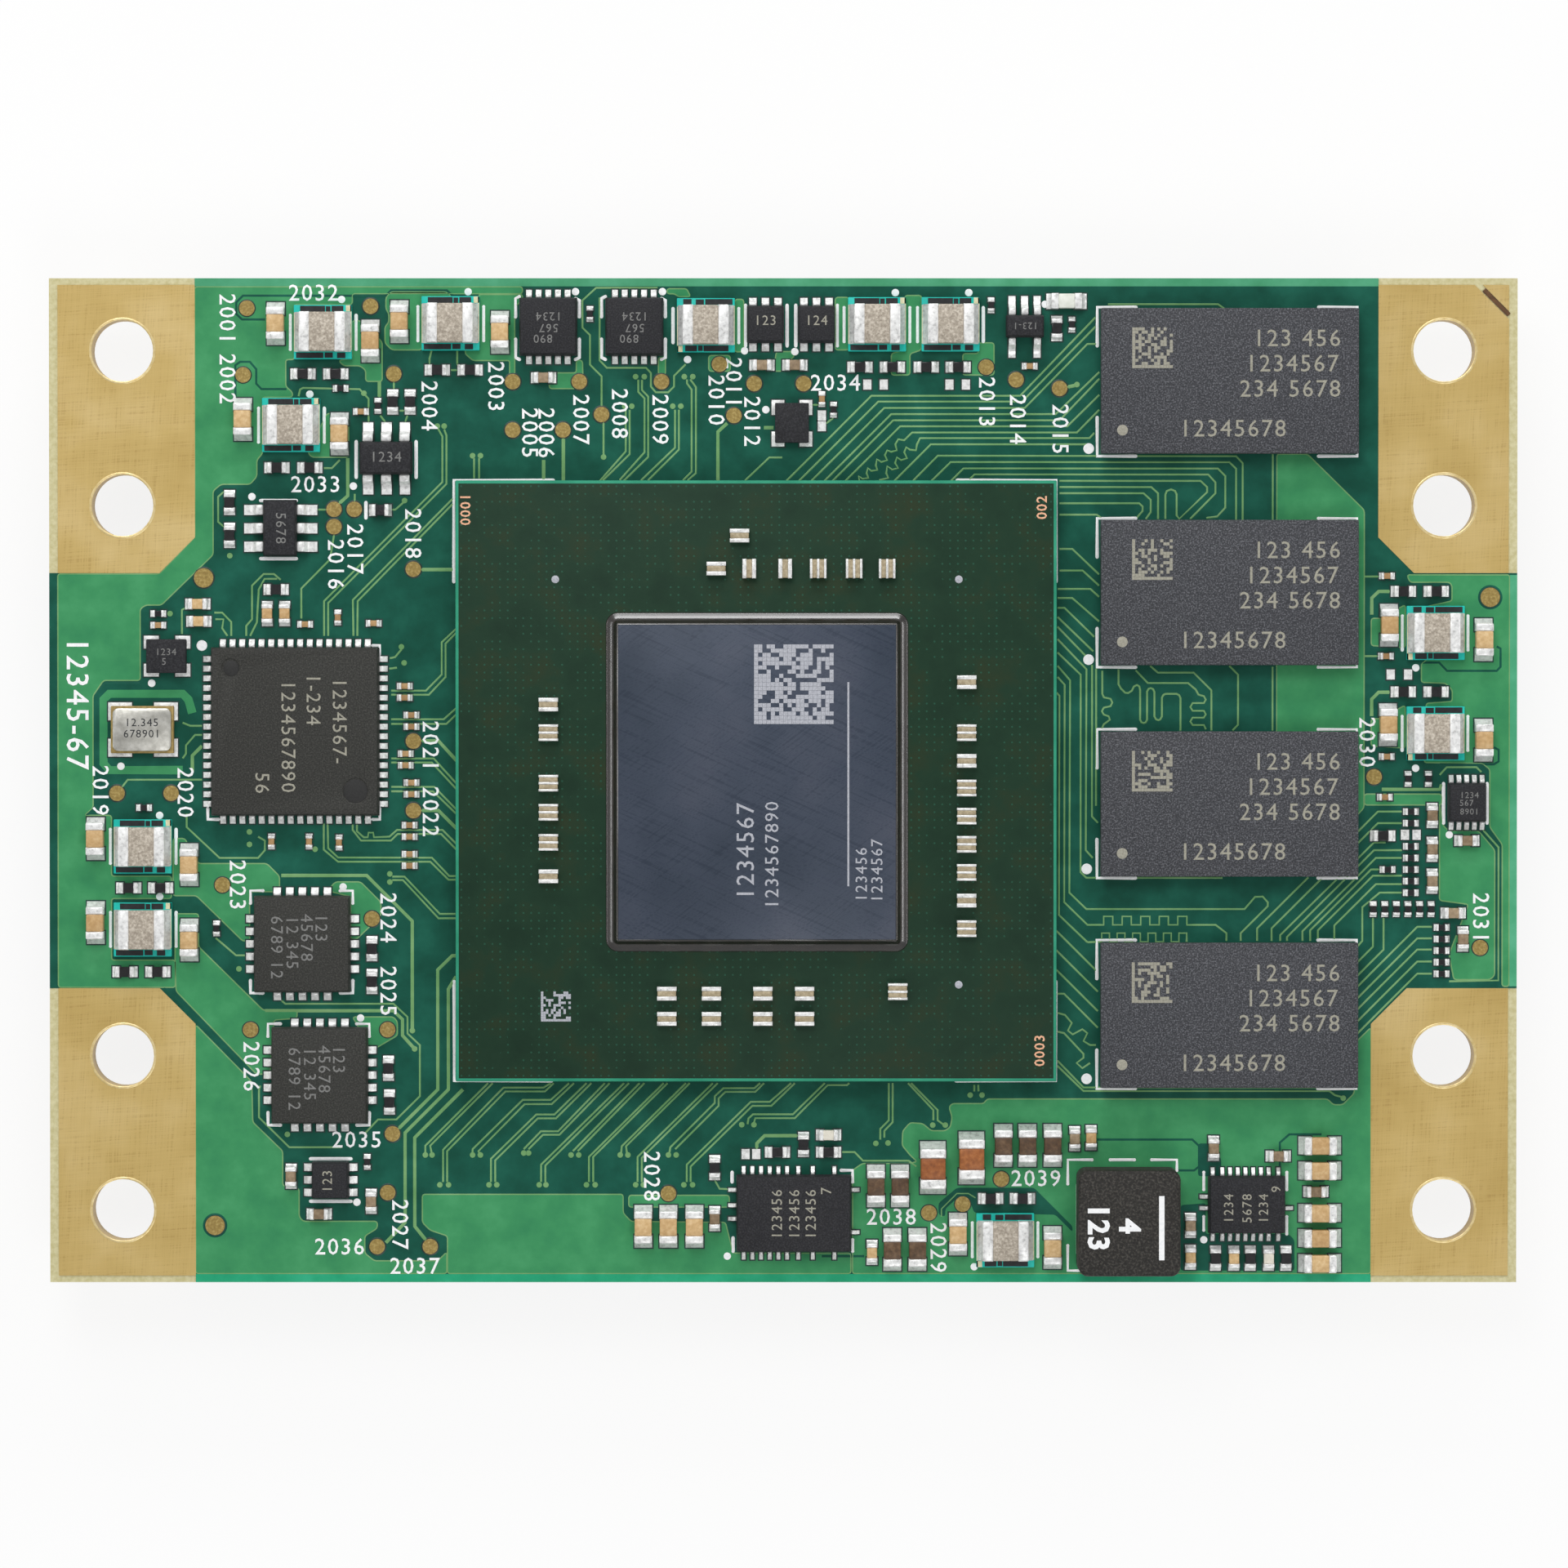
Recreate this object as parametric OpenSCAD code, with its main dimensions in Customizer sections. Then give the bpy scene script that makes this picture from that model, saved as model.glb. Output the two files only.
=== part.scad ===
// System on module: a circuit board with a bare-die processor, four memory packages, power
// conversion and clocking on top, and four board-to-board connectors underneath.
// X runs along the long side, Y along the short side, Z up from the connectors' mating faces.
// The origin is below the centre of the board. All sizes are in millimetres.

/* [Board] */
// Length of the board
board_w = 76; // [76:0.5:84]
// Depth of the board
board_d = 52; // [52:0.5:60]
// Thickness of the bare laminate
board_t = 1.6; // [1.2:0.1:2.4]
// Thickness of each solder mask skin
mask_t = 0.03; // [0.02:0.01:0.06]
// Thickness of the solder film under a seated part
solder_t = 0.05; // [0.03:0.01:0.08]
// Diameter of a test pad
test_d = 0.8; // [0.6:0.05:1]
// Diameter of a fiducial mark
fiducial_d = 1.0; // [0.8:0.05:1.2]
// Thickness of the plated copper of pads and marks
pad_t = 0.05; // [0.03:0.01:0.1]
// Clearance between a corner pad and other copper
copper_gap = 0.2; // [0.1:0.05:0.3]

/* [Corner pads and mounting holes] */
// Finished diameter of a mounting hole
hole_d = 3.2; // [2.6:0.1:3.6]
// Hole centre to the board's short edge
hole_inset_x = 3.8; // [3.4:0.05:4.2]
// Outer hole centre to the board's long edge
hole_inset_y = 3.75; // [3.4:0.05:4.2]
// Distance between the two holes of a corner
hole_step = 8; // [6:0.1:9]
// Wall of the plated barrel in a hole
plating_t = 0.04; // [0.02:0.01:0.08]
// Extent of a corner pad along X
pad_w = 7.1; // [6:0.1:7.4]
// Extent of a corner pad along Y
pad_d = 14.9; // [13.5:0.1:15]
// Chamfer on the inner corner of a pad
pad_chamfer = 1.85; // [0.5:0.05:2.2]
// How much narrower the keyed corner's pad is
key_trim = 0.35; // [0.05:0.05:0.6]
// Legs of the triangle that a slot parts from the keyed corner's pad
key_leg = 1.35; // [1:0.05:1.6]
// Width of that slot
key_slot = 0.3; // [0.15:0.05:0.4]
// Bare laminate between a pad and the short edge
margin_x = 0.45; // [0.3:0.05:0.7]
// Bare laminate between a pad and the long edge
margin_y = 0.35; // [0.2:0.05:0.6]

/* [Processor] */
// Side of the square package substrate
proc_w = 31; // [29:0.5:32]
// Thickness of the package substrate
proc_t = 1.1; // [0.8:0.1:1.6]
// Pitch of the solder balls
ball_pitch = 1.0; // [1:0.05:1.27]
// Diameter of a solder ball at its waist
ball_d = 0.6; // [0.4:0.05:0.7]
// Height of a soldered ball
ball_h = 0.45; // [0.3:0.05:0.6]
// Substrate edge to the centre of the outer balls
ball_edge = 1.0; // [0.6:0.05:1.5]
// Width of the die along X
die_w = 14.3; // [12:0.1:16]
// Depth of the die along Y
die_d = 16.2; // [14:0.1:18]
// Thickness of the die above the substrate
die_t = 0.8; // [0.5:0.05:1.1]
// Spread of the underfill fillet around the die
fillet_w = 0.65; // [0.3:0.05:0.9]
// Length of a capacitor on the substrate
sub_cap_l = 1.0; // [0.8:0.05:1.1]
// Width of a plain capacitor on the substrate
sub_cap_w = 0.7; // [0.5:0.05:0.8]
// Width of a three-band capacitor on the substrate
wide_cap_w = 0.85; // [0.7:0.05:0.95]
// Height of a capacitor on the substrate
sub_cap_h = 0.5; // [0.3:0.05:0.7]

/* [Memory] */
// Length of a memory package
mem_w = 13.3; // [12:0.1:13.5]
// Depth of a memory package
mem_d = 7.5; // [7:0.1:9]
// Thickness of a memory substrate
mem_base_t = 0.25; // [0.15:0.05:0.4]
// Thickness of the moulded cap
mem_mold_t = 0.55; // [0.4:0.05:0.9]
// Pitch of the memory balls
mem_pitch = 0.8; // [0.75:0.05:0.85]
// Diameter of a memory ball at its waist
mem_ball_d = 0.45; // [0.35:0.05:0.5]
// Height of a soldered memory ball
mem_ball_h = 0.35; // [0.2:0.05:0.45]
// Distance from one memory package to the next
mem_step = 10.92; // [10.6:0.02:11]

/* [Leaded packages] */
// Side of the clock chip's moulded body
clock_w = 8.7; // [8:0.1:9]
// Side of a regulator's body
regulator_w = 5.0; // [4.6:0.1:5.2]
// Side of a large load switch's body
switch_w = 3.0; // [2.8:0.1:3.2]
// Side of the small load switch's body
small_switch_w = 2.0; // [1.9:0.05:2.2]
// Side of a driver's body
driver_w = 1.92; // [1.8:0.02:2.1]
// Height of the flat packages
flat_h = 0.9; // [0.6:0.05:1.2]
// How far the draft brings a moulded body's upper edges in
mold_draft = 0.08; // [0.02:0.01:0.12]
// Depth of the round mould marks in the clock chip
mark_depth = 0.06; // [0.03:0.01:0.12]
// Thickness of a lead at the body's side
lead_t = 0.12; // [0.08:0.01:0.2]
// Height that solder climbs on a lead
lead_climb = 0.3; // [0.2:0.05:0.5]
// Length of a lead under the body
lead_under = 0.35; // [0.2:0.05:0.4]
// Length of a lead's solder outside the body
lead_reach = 0.42; // [0.25:0.01:0.5]
// Height of the transistor packages
outline_h = 1.1; // [0.9:0.05:1.3]
// Gap between a transistor package and the board
outline_gap = 0.1; // [0.05:0.05:0.2]
// Thickness of a gull-wing lead
gull_t = 0.14; // [0.1:0.01:0.2]
// Length of a gull-wing lead outside the body
gull_reach = 1.02; // [0.7:0.01:1.1]

/* [Converters] */
// Length of the large converter
conv_a_w = 5.96; // [5.7:0.02:6.2]
// Depth of the large converter
conv_a_d = 4.0; // [3.8:0.05:4.2]
// Length of the small converter
conv_b_w = 4.0; // [3.8:0.05:4.2]
// Depth of the small converter
conv_b_d = 2.97; // [2.8:0.01:3.2]
// Height of the converters
conv_h = 1.0; // [0.7:0.05:1.4]

/* [Power modules] */
// Length of a module's board
mod_w = 3.0; // [2.8:0.05:3.1]
// Depth of a module's board
mod_d = 2.8; // [2.6:0.05:2.9]
// Thickness of a module's board
mod_t = 0.4; // [0.3:0.05:0.6]
// Length of the chip inductor on a module
mod_chip_l = 2.4; // [2.2:0.05:2.5]
// Width of the chip inductor on a module
mod_chip_w = 2.05; // [1.8:0.05:2.2]
// Height of the chip inductor on a module
mod_chip_h = 0.9; // [0.6:0.05:1.1]
// Length of the chip inductor's end band
mod_band = 0.55; // [0.4:0.05:0.7]
// Reach of the solder fillet past the chip inductor's end
mod_foot = 0.25; // [0.1:0.05:0.25]

/* [Power inductor] */
// Length of the power inductor
coil_w = 5.25; // [5:0.05:5.4]
// Depth of the power inductor
coil_d = 5.45; // [5.2:0.05:5.5]
// Height of the power inductor's body
coil_h = 3.0; // [2:0.1:4]
// Corner radius of the power inductor
coil_r = 0.5; // [0.2:0.05:0.9]
// Thickness of its terminals
coil_foot_t = 0.12; // [0.08:0.01:0.3]
// Length of its terminals along Y
coil_foot_d = 3.6; // [2:0.1:4.5]
// Width of its terminals along X
coil_foot_w = 1.2; // [0.8:0.05:1.6]

/* [Crystals] */
// Length of the metal-lid crystal
crystal_w = 3.25; // [3:0.05:3.4]
// Depth of the metal-lid crystal
crystal_d = 2.45; // [2.2:0.05:2.6]
// Height of the crystal's ceramic base
crystal_base_h = 0.5; // [0.3:0.05:0.7]
// Height of the crystal's lid
crystal_lid_h = 0.25; // [0.15:0.05:0.4]
// Rim of the base around the lid
crystal_rim = 0.12; // [0.05:0.01:0.25]
// Corner radius of the lid
crystal_lid_r = 0.3; // [0.1:0.05:0.5]
// Long side of a small oscillator
osc_l = 2.05; // [1.9:0.05:2.2]
// Short side of a small oscillator
osc_w = 1.75; // [1.6:0.05:1.9]
// Height of a small oscillator
osc_h = 0.7; // [0.5:0.05:1]
// Reach of a corner land past the part that it carries
corner_reach = 0.18; // [0.1:0.01:0.3]

/* [Chip parts] */
// Length of the largest capacitors
c0805_l = 2.1; // [1.9:0.05:2.2]
// Width of the largest capacitors
c0805_w = 1.32; // [1.15:0.01:1.4]
// Height of the largest capacitors
c0805_h = 1.25; // [0.8:0.05:1.4]
// Length of the medium capacitors
c0603_l = 1.7; // [1.5:0.05:1.8]
// Width of the medium capacitors
c0603_w = 0.92; // [0.75:0.01:0.98]
// Height of the medium capacitors
c0603_h = 0.85; // [0.5:0.05:1]
// Length of the small chips
c0402_l = 1.0; // [0.9:0.02:1.1]
// Width of the small chips
c0402_w = 0.56; // [0.45:0.01:0.6]
// Height of the small capacitors
c0402_h = 0.5; // [0.3:0.05:0.6]
// Height of the small resistors
r0402_h = 0.36; // [0.25:0.01:0.45]
// Length of the smallest chips
c0201_l = 0.62; // [0.55:0.01:0.66]
// Width of the smallest chips
c0201_w = 0.34; // [0.26:0.01:0.36]
// Height of the smallest chips
c0201_h = 0.28; // [0.2:0.01:0.35]
// Length of the signal diode's body
diode_l = 0.9; // [0.8:0.05:1]
// Width of the signal diode's body
diode_w = 0.6; // [0.5:0.02:0.7]
// Height of the signal diode's body
diode_h = 0.5; // [0.3:0.05:0.6]
// Length of the light-emitting diode
led_l = 1.6; // [1.5:0.05:1.7]
// Width of the light-emitting diode
led_w = 0.8; // [0.7:0.02:0.85]
// Height of the light-emitting diode
led_h = 0.6; // [0.4:0.05:0.8]
// Length of a terminal band as a share of the chip's length
band_share = 0.24; // [0.15:0.01:0.32]
// Reach of the solder foot as a share of the chip's length
foot_share = 0.15; // [0.05:0.01:0.18]
// Height that solder climbs on a terminal, as a share of the chip's height
climb_share = 0.35; // [0.2:0.05:0.9]
// Step from a terminal's surface down to the chip's body
band_skin = 0.02; // [0.01:0.005:0.04]

/* [Connectors] */
// Height from the mating face to the board's underside
conn_h = 3.6; // [3:0.1:5]
// Length of a connector housing
conn_l = 45; // [43:0.5:46]
// Width of a connector housing
conn_w = 4.4; // [3.8:0.1:4.6]
// Chamfer that keys one end of a housing
conn_key = 0.8; // [0.3:0.1:1.2]
// Width of the mating slot
slot_w = 2.0; // [1.6:0.1:2.4]
// Slot length past the outer contacts at each end
slot_end = 0.5; // [0.3:0.05:0.8]
// Contacts in one row
contact_count = 80; // [60:1:80]
// Pitch of the contacts
contact_pitch = 0.5; // [0.4:0.01:0.51]
// Width of a contact
contact_w = 0.2; // [0.12:0.01:0.26]
// Thickness of a contact
contact_t = 0.15; // [0.1:0.01:0.25]
// Contact tip above the mating face
contact_tip = 0.5; // [0.2:0.05:1]
// Reach of a contact's tail past the housing
tail_reach = 0.6; // [0.3:0.05:0.7]
// Centre line of the long-side connectors to the long edge
conn_inset_y = 3.2; // [3:0.1:3.6]
// Centre line of the short-side connectors to the short edge
conn_inset_x = 11.5; // [11.2:0.1:11.6]

/* [Underside] */
// Length of a boot memory body
flash_w = 6; // [5:0.1:6.4]
// Depth of a boot memory body
flash_d = 5; // [4.6:0.1:5.6]
// Rows and columns of decoupling capacitors
decap_count = 6; // [3:1:7]
// Distance between decoupling capacitors
decap_step = 2.4; // [1.6:0.1:2.6]

/* [Hidden] */
$fn = 32;

// Heights in the stack, from the mating faces up
under_z = conn_h;
core_z = under_z + mask_t;
core_top_z = core_z + board_t;
top_z = core_top_z + mask_t;

// Past the edge of what is cut
cut = 1;

// Places of the parts on the upper face: [x, y, turn]
proc_at = [[-1.4, 0, 0]];
die_at = [0.05, -0.05];
mem_at = [for (i = [0:3]) [23.05, 20.65 - i * mem_step, 0]];
clock_at = [[-25.25, 2.55, 0]];
regulator_at = [[-24.9, -8.45, 0], [-24, -15.25, 0]];
switch_at = [[-12.15, 23.48, 0], [-7.7, 23.48, 0]];
small_switch_at = [[35.38, -1.12, 0]];
driver_at = [[-0.92, 23.6, 0], [1.72, 23.6, 0], [-23.45, -20.68, 90]];
conv_a_at = [[0.55, -22.4, 0]];
conv_b_at = [[24, -21.95, 0]];
coil_at = [[17.8, -22.72, 0]];
crystal_at = [[-33.15, 2.65, 0]];
osc_at = [[-31.9, 6.45, 0], [0.45, 18.5, 90]];
led_at = [[14.65, 24.8, 0]];
diode_at = [[-20.85, 14, 0]];
module_at = [
  [-23.8, 23.2, 0], [-25.45, 18.4, 0], [-17.2, 23.65, 0], [-4, 23.55, 180], [4.85, 23.6, 0],
  [8.65, 23.6, 0], [33.75, 7.65, 180], [33.75, 2.45, 180], [-33.15, -3.4, 0], [-33.15, -7.7, 0],
  [11.5, -23.8, 180]
];

// Transistor packages: [x, y, turn, body length, body depth, leads on one side, on the other, pitch]
outline_at = [
  [12.48, 23.48, 0, 1.97, 1.15, [-1, 0, 1], [-1, 1], 0.65],
  [-20.52, 16.68, 0, 2.75, 1.69, [-1, 0, 1], [-1, 0, 1], 0.95],
  [-26, 13.06, 90, 2.92, 1.74, [-1, 0, 1], [-1, 0, 1], 0.95]
];

// Leads of the converters, from the body's centre
conv_a_cols = [-2.6, -2.15, -1.7, -1.25, -0.8, -0.35, 0.23, 0.98, 2.1];
conv_a_left = [1.2, 0.4, -0.3];
conv_a_right = [1.2, -1];
conv_b_cols = [-1.75, -1.25, -0.85, -0.45, -0.05, 0.35, 0.75, 1.15, 1.65];
conv_b_left = [0.4, -0.2];
conv_b_right = [-0.2];

c0805_at = [[7.75, -20.05, 90], [9.75, -19.55, 90]];
c0603_tan_at = [
  [-26.25, 23.65, 90], [-27.95, 18.7, 90], [-22.95, 17.95, 90], [-21.35, 22.75, 90],
  [-19.85, 23.75, 90], [-14.65, 23.2, 90], [31.35, 8.05, 90], [36.25, 7.3, 90], [31.3, 2.9, 90],
  [36.25, 2.1, 90], [-35.6, -3, 90], [-30.75, -4.35, 90], [-35.6, -7.35, 90], [-30.75, -8.25, 90],
  [-7.25, -23.1, 90], [-5.95, -23.1, 90], [-4.6, -23.1, 90], [9.05, -23.5, 90], [13.95, -24.2, 90],
  [27.8, -18.9, 0], [27.8, -20.2, 0], [27.8, -22.4, 0], [27.8, -23.7, 0], [27.8, -25, 0]
];
c0603_dark_at = [
  [11.4, -18.9, 90], [12.65, -18.9, 90], [13.95, -18.9, 90], [4.8, -21, 90], [6.05, -21, 90],
  [5.65, -24.3, 90], [6.95, -24.3, 90]
];
c0402_at = [
  [-12.4, 20.85, 0], [-1.1, 21.5, 0], [0.6, 21.5, 0], [-30.3, 9.15, 0], [-30.25, 8.25, 0],
  [-26.7, 8.65, 90], [-25.8, 8.65, 90], [-25.5, -20.5, 90], [-21.35, -21.8, 90],
  [-24.05, -22.45, 0], [-3.55, -22.7, 90], [2.35, -18.35, 0], [15.1, -18.55, 90],
  [15.95, -18.5, 90], [4.6, -24.45, 90], [22.3, -19.05, 90], [25.65, -19.45, 0],
  [27.6, -21.3, 0], [21.1, -23.05, 90], [21.1, -24.7, 90], [23.35, -24.75, 90],
  [25.15, -24.75, 90], [33.6, -1.8, 90], [33.6, -3.55, 90], [33.6, -5.2, 90], [35.4, -3.1, 0],
  [34.7, -6.85, 0], [35.2, -8.2, 90]
];
r0402_at = [
  [-24.85, 21.05, 0], [-23.15, 21.05, 0], [-26.2, 16.2, 0], [-24.5, 16.2, 0], [-28.65, 14.4, 90],
  [-28.65, 12.7, 90], [-20.2, 19.6, 90], [-19.3, 19.6, 90], [-17.9, 21.25, 0], [-16.2, 21.25, 0],
  [3.97, 21.4, 0], [5.65, 21.4, 0], [7.4, 21.4, 0], [9.05, 21.4, 0], [14.15, 23.4, 90],
  [-26.25, 9.9, 0], [-33.9, -5.55, 0], [-32.25, -5.55, 0], [-34.1, -9.9, 0], [-32.4, -9.9, 0],
  [-21.3, -8.7, 90], [-21.3, -10.4, 90], [-20.45, -14.9, 90], [-20.4, -16.65, 90],
  [-3.55, -20.05, 90], [-0.3, -19.25, 0], [1.05, -18.85, 90], [2.35, -19.25, 0],
  [10.75, -21.65, 0], [12.4, -21.65, 0], [22.4, -24.75, 90], [24.2, -24.75, 90],
  [26.05, -24.75, 90], [32.1, 4.6, 0], [33.8, 4.6, 0], [32.1, 9.8, 0], [33.8, 9.8, 0],
  [31.05, -2.85, 0]
];
c0201_at = concat(
  [[-21.85, 19.1, 0], [2, 19.75, 90], [12.75, 21.45, 0], [-32.35, 8.05, 0], [-24.75, 8.1, 0],
   [-23.05, 8.45, 90], [-21.2, 8.15, 0], [-26.5, -3.15, 90], [-24.55, -3.15, 90], [-23, -3.2, 90],
   [31.2, 6.45, 0], [31.25, 10.6, 0], [31.25, 1.25, 0], [31.15, -0.85, 0]],
  // Coupling pairs of the clock outputs: [x, y of the upper one]
  [for (p = [[-19.6, 4.9], [-19.25, 3.4], [-19.55, 1.4], [-19.25, -0.1], [-19.35, -2.3], [-19.35, -3.8]])
     for (i = [0, 1]) [p[0], p[1] - i * 0.6, 0]]
);
r0201_at = concat(
  [[-22.9, 20.3, 0], [-20.97, 19.4, 90], [-10, 24.15, 90], [2.6, 19.2, 90], [10.75, 24.6, 90],
   [14.93, 23.6, 90], [-32.35, 8.65, 0], [-33.1, -1.4, 0], [-29.35, -7.65, 90],
   [-21.55, -19.75, 90], [32.35, 0.1, 90], [33.4, 0.1, 90], [31.3, -4.6, 0]],
  // Termination resistors of the memory bus
  [for (i = [0, 1, 3, 4, 5, 6, 7]) [32.5, -1.6 - i * 0.6, 0]],
  [for (i = [0:5]) [30.55 + i * 0.6, -6.65, 90]],
  [for (i = [0:4]) [34.1, -7.6 - i * 0.6, 0]]
);
bare_at = [
  [4.35, 20.5], [5.2, 20.5], [8.6, 20.5], [9.45, 20.5], [2, 18.9], [2, 18.35], [-1.95, -19.35],
  [-1.4, -19.35], [31.45, 5.5], [32.35, 5.5], [32.2, -2.8], [32.8, -2.8]
];
test_at = [
  [-27.75, 24.45], [-27.95, 21], [-21.35, 24.55], [-23.25, 14.05], [-22.2, 14.05], [-23.25, 13.15],
  [-20.15, 21.05], [-14, 20.65], [-10.55, 20.65], [-14, 18.15], [-11.4, 18.15], [-9.4, 18.95],
  [-6.3, 20.65], [-3.3, 21.55], [-2.55, 18.9], [-1.5, 20.55], [1.05, 20.55], [10.5, 21.4],
  [12.05, 20.75], [14.3, 20.3], [-19.15, 10.95], [-34.5, -0.65], [-31.7, -0.65], [-19.15, 2.05],
  [-19.15, -1.55], [-29.05, -5.4], [-21.3, -7.15], [-27.6, -12.9], [-20.5, -12.9], [-20.25, -18.3],
  [-20.5, -21.35], [-21.05, -24.15], [-18.3, -24.15], [-5.95, -21.4], [7.55, -22.4],
  [9.3, -21.95], [11.3, -20.65], [30.6, 0.2], [36.1, -8.65]
];
fiducial_at = [[-30, 10.5], [36.6, 9.5], [-29.45, -23.05]];

// Capacitors on the processor's substrate, from the package centre: [x, y, turn]
sub_cap_at = concat(
  [[-0.85, 12.65, 0], [-2.05, 10.95, 0], [-0.35, 10.95, 90], [1.5, 10.95, 90]],
  [[-10.7, 3.95, 0], [-10.7, -4.9, 0], [10.85, 5.1, 0], [10.85, 1.05, 0], [10.85, -6.15, 0]],
  [for (x = [-4.6, -2.3, 0.35, 2.5], y = [-10.95, -12.25]) [x, y, 0]]
);
wide_cap_at = concat(
  [for (x = [3.2, 5.05, 6.75]) [x, 10.95, 90]],
  [for (y = [2.5, -0.1, -1.6, -3.15]) [-10.7, y, 0]],
  [for (y = [2.5, -0.35, -1.8, -3.25, -4.7, -7.6]) [10.85, y, 0]],
  [[7.3, -10.85, 0]]
);

// Lead counts and pitches of the leaded packages, and the clock chip's mould marks: [x, y, diameter]
clock_count = 16;
clock_marks = [[-3.3, 3.3, 0.92], [3.15, -3.05, 1.3]];
clock_pitch = 0.5;
regulator_count = 5;
regulator_pitch = 0.65;
switch_count = 5;
switch_pitch = 0.5;
small_switch_pitch = 0.4;
driver_count = 3;
driver_pitch = 0.65;
lead_share = 0.58;
gull_share = 0.55;

// Lands without a part, and the corner lands of the crystals
bare_w = 0.42;
bare_d = 0.52;
land_share = 0.38;

// The balls: two cones that meet at the waist
ball_neck = 0.75;
ball_count = floor((proc_w - 2 * ball_edge) / ball_pitch + 0.01) + 1;
mem_rows = 16;
mem_cols = 3;
mem_col_step = 3 * mem_pitch;

// The underfill climbs this share of the die's height and ends this far from it
fillet_climb = 0.85;
fillet_top = 0.06;

// Terminals of a capacitor on the substrate, along its long sides
sub_band_share = 0.3;

// The connectors
slot_l = (contact_count - 1) * contact_pitch + contact_w + 2 * slot_end;
long_conn_at = [for (s = [-1, 1]) [0, s * (board_d / 2 - conn_inset_y), 0]];
side_conn_at = [for (s = [-1, 1]) [s * (board_w / 2 - conn_inset_x), 0, 90]];

// Places on the underside
decap_at = [
  for (i = [0:decap_count - 1], j = [0:decap_count - 1])
    [proc_at[0][0] + (i - (decap_count - 1) / 2) * decap_step, (j - (decap_count - 1) / 2) * decap_step, 0]
];
flash_at = [[-14, 13.5, 0], [-5.5, 13.5, 0]];
flash_count = 4;
flash_pitch = 1.27;

// Placing

module on_top(places) {
  for (p = places) translate([p[0], p[1], top_z]) rotate(p[2]) children();
}

module on_substrate(places) {
  for (p = places) translate([proc_at[0][0] + p[0], proc_at[0][1] + p[1], top_z + ball_h + proc_t])
    rotate(p[2]) children();
}

module underneath(places) {
  for (p = places) translate([p[0], p[1], under_z]) mirror([0, 0, 1]) rotate(p[2]) children();
}

module hang_connector(places) {
  for (p = places) translate([p[0], p[1], 0]) rotate(p[2]) children();
}

module row(count, pitch) {
  for (i = [0:count - 1]) translate([0, (i - (count - 1) / 2) * pitch, 0]) children();
}

module sides(turns, half) {
  for (t = turns) rotate(t) translate([half, 0, 0]) children();
}

// Each corner of the board, with X and Y pointing outwards: the first is the keyed one
module corners() {
  for (sx = [0, 1], sy = [0, 1]) {
    $keyed = sx + sy == 0;
    mirror([sx, 0, 0]) mirror([0, sy, 0]) children();
  }
}

// Shapes that several parts share

module box(w, d, h, z = 0) {
  translate([-w / 2, -d / 2, z]) cube([w, d, h]);
}

module rounded_slab(w, d, h, r, z = 0) {
  translate([0, 0, z]) linear_extrude(h) union() {
    square([w - 2 * r, d], center = true);
    square([w, d - 2 * r], center = true);
    for (sx = [-1, 1], sy = [-1, 1]) translate([sx * (w / 2 - r), sy * (d / 2 - r)]) circle(r);
  }
}

// The body between a chip's terminals
module chip_body(l, w, h) {
  box(l * (1 - 2 * band_share), w - 2 * band_skin, h - 2 * band_skin, band_skin);
}

// Two end bands, each from its inner side to the end face, with a solder fillet out to the foot
module end_bands(inner, end, foot, w, h) {
  for (side = [0, 1]) mirror([side, 0, 0]) rotate([90, 0, 0]) linear_extrude(w, center = true)
    polygon([[inner, 0], [foot, 0], [foot, solder_t], [end, h * climb_share], [end, h], [inner, h]]);
}

// The two terminals of a chip, each with its solder fillet
module chip_terminals(l, w, h) {
  end_bands(l * (0.5 - band_share), l / 2, l * (0.5 + foot_share), w, h);
}

// A package body that stands on the solder film
module flat_body(w, d, h) {
  box(w, d, h - solder_t, solder_t);
}

// A moulded body w by d at its parting band, from low to high, with draft above the band and below it
module moulded_body(w, d, low, high, band_low, band_high) {
  intersection() {
    rotate([90, 0, 0]) linear_extrude(d, center = true) draft_profile(w, low, high, band_low, band_high);
    rotate([90, 0, 90]) linear_extrude(w, center = true) draft_profile(d, low, high, band_low, band_high);
  }
}

module draft_profile(w, low, high, band_low, band_high) {
  foot = band_low > low ? w / 2 - mold_draft : w / 2;
  polygon([
    [-foot, low], [foot, low], [w / 2, band_low], [w / 2, band_high],
    [w / 2 - mold_draft, high], [mold_draft - w / 2, high], [-w / 2, band_high], [-w / 2, band_low]
  ]);
}

// A flat moulded package: its sides are straight as far as solder climbs on the leads
module flat_package(w, d, h) {
  moulded_body(w, d, solder_t, h, solder_t, lead_climb);
}

// A lead of a flat package: it lies under the body and climbs the body's side, at x = 0
module flat_lead(width) {
  rotate([90, 0, 0]) linear_extrude(width, center = true)
    polygon([
      [-lead_under, 0], [lead_reach, 0], [lead_reach, solder_t], [lead_t, lead_climb],
      [0, lead_climb], [0, solder_t], [-lead_under, solder_t]
    ]);
}

// A gull-wing lead that leaves the body's side at x = 0
module gull_lead(width) {
  exit_z = outline_h / 2;
  shoulder = gull_reach * 0.22;
  heel = gull_reach * 0.45;
  rotate([90, 0, 0]) linear_extrude(width, center = true)
    polygon([
      [0, exit_z], [shoulder, exit_z], [heel, 0], [gull_reach, 0], [gull_reach, gull_t],
      [heel + gull_t, gull_t], [shoulder + gull_t, exit_z + gull_t], [0, exit_z + gull_t]
    ]);
}

module solder_ball(d, h) {
  rotate_extrude($fn = 16)
    polygon([[0, 0], [d / 2 * ball_neck, 0], [d / 2, h / 2], [d / 2 * ball_neck, h], [0, h]]);
}

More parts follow.
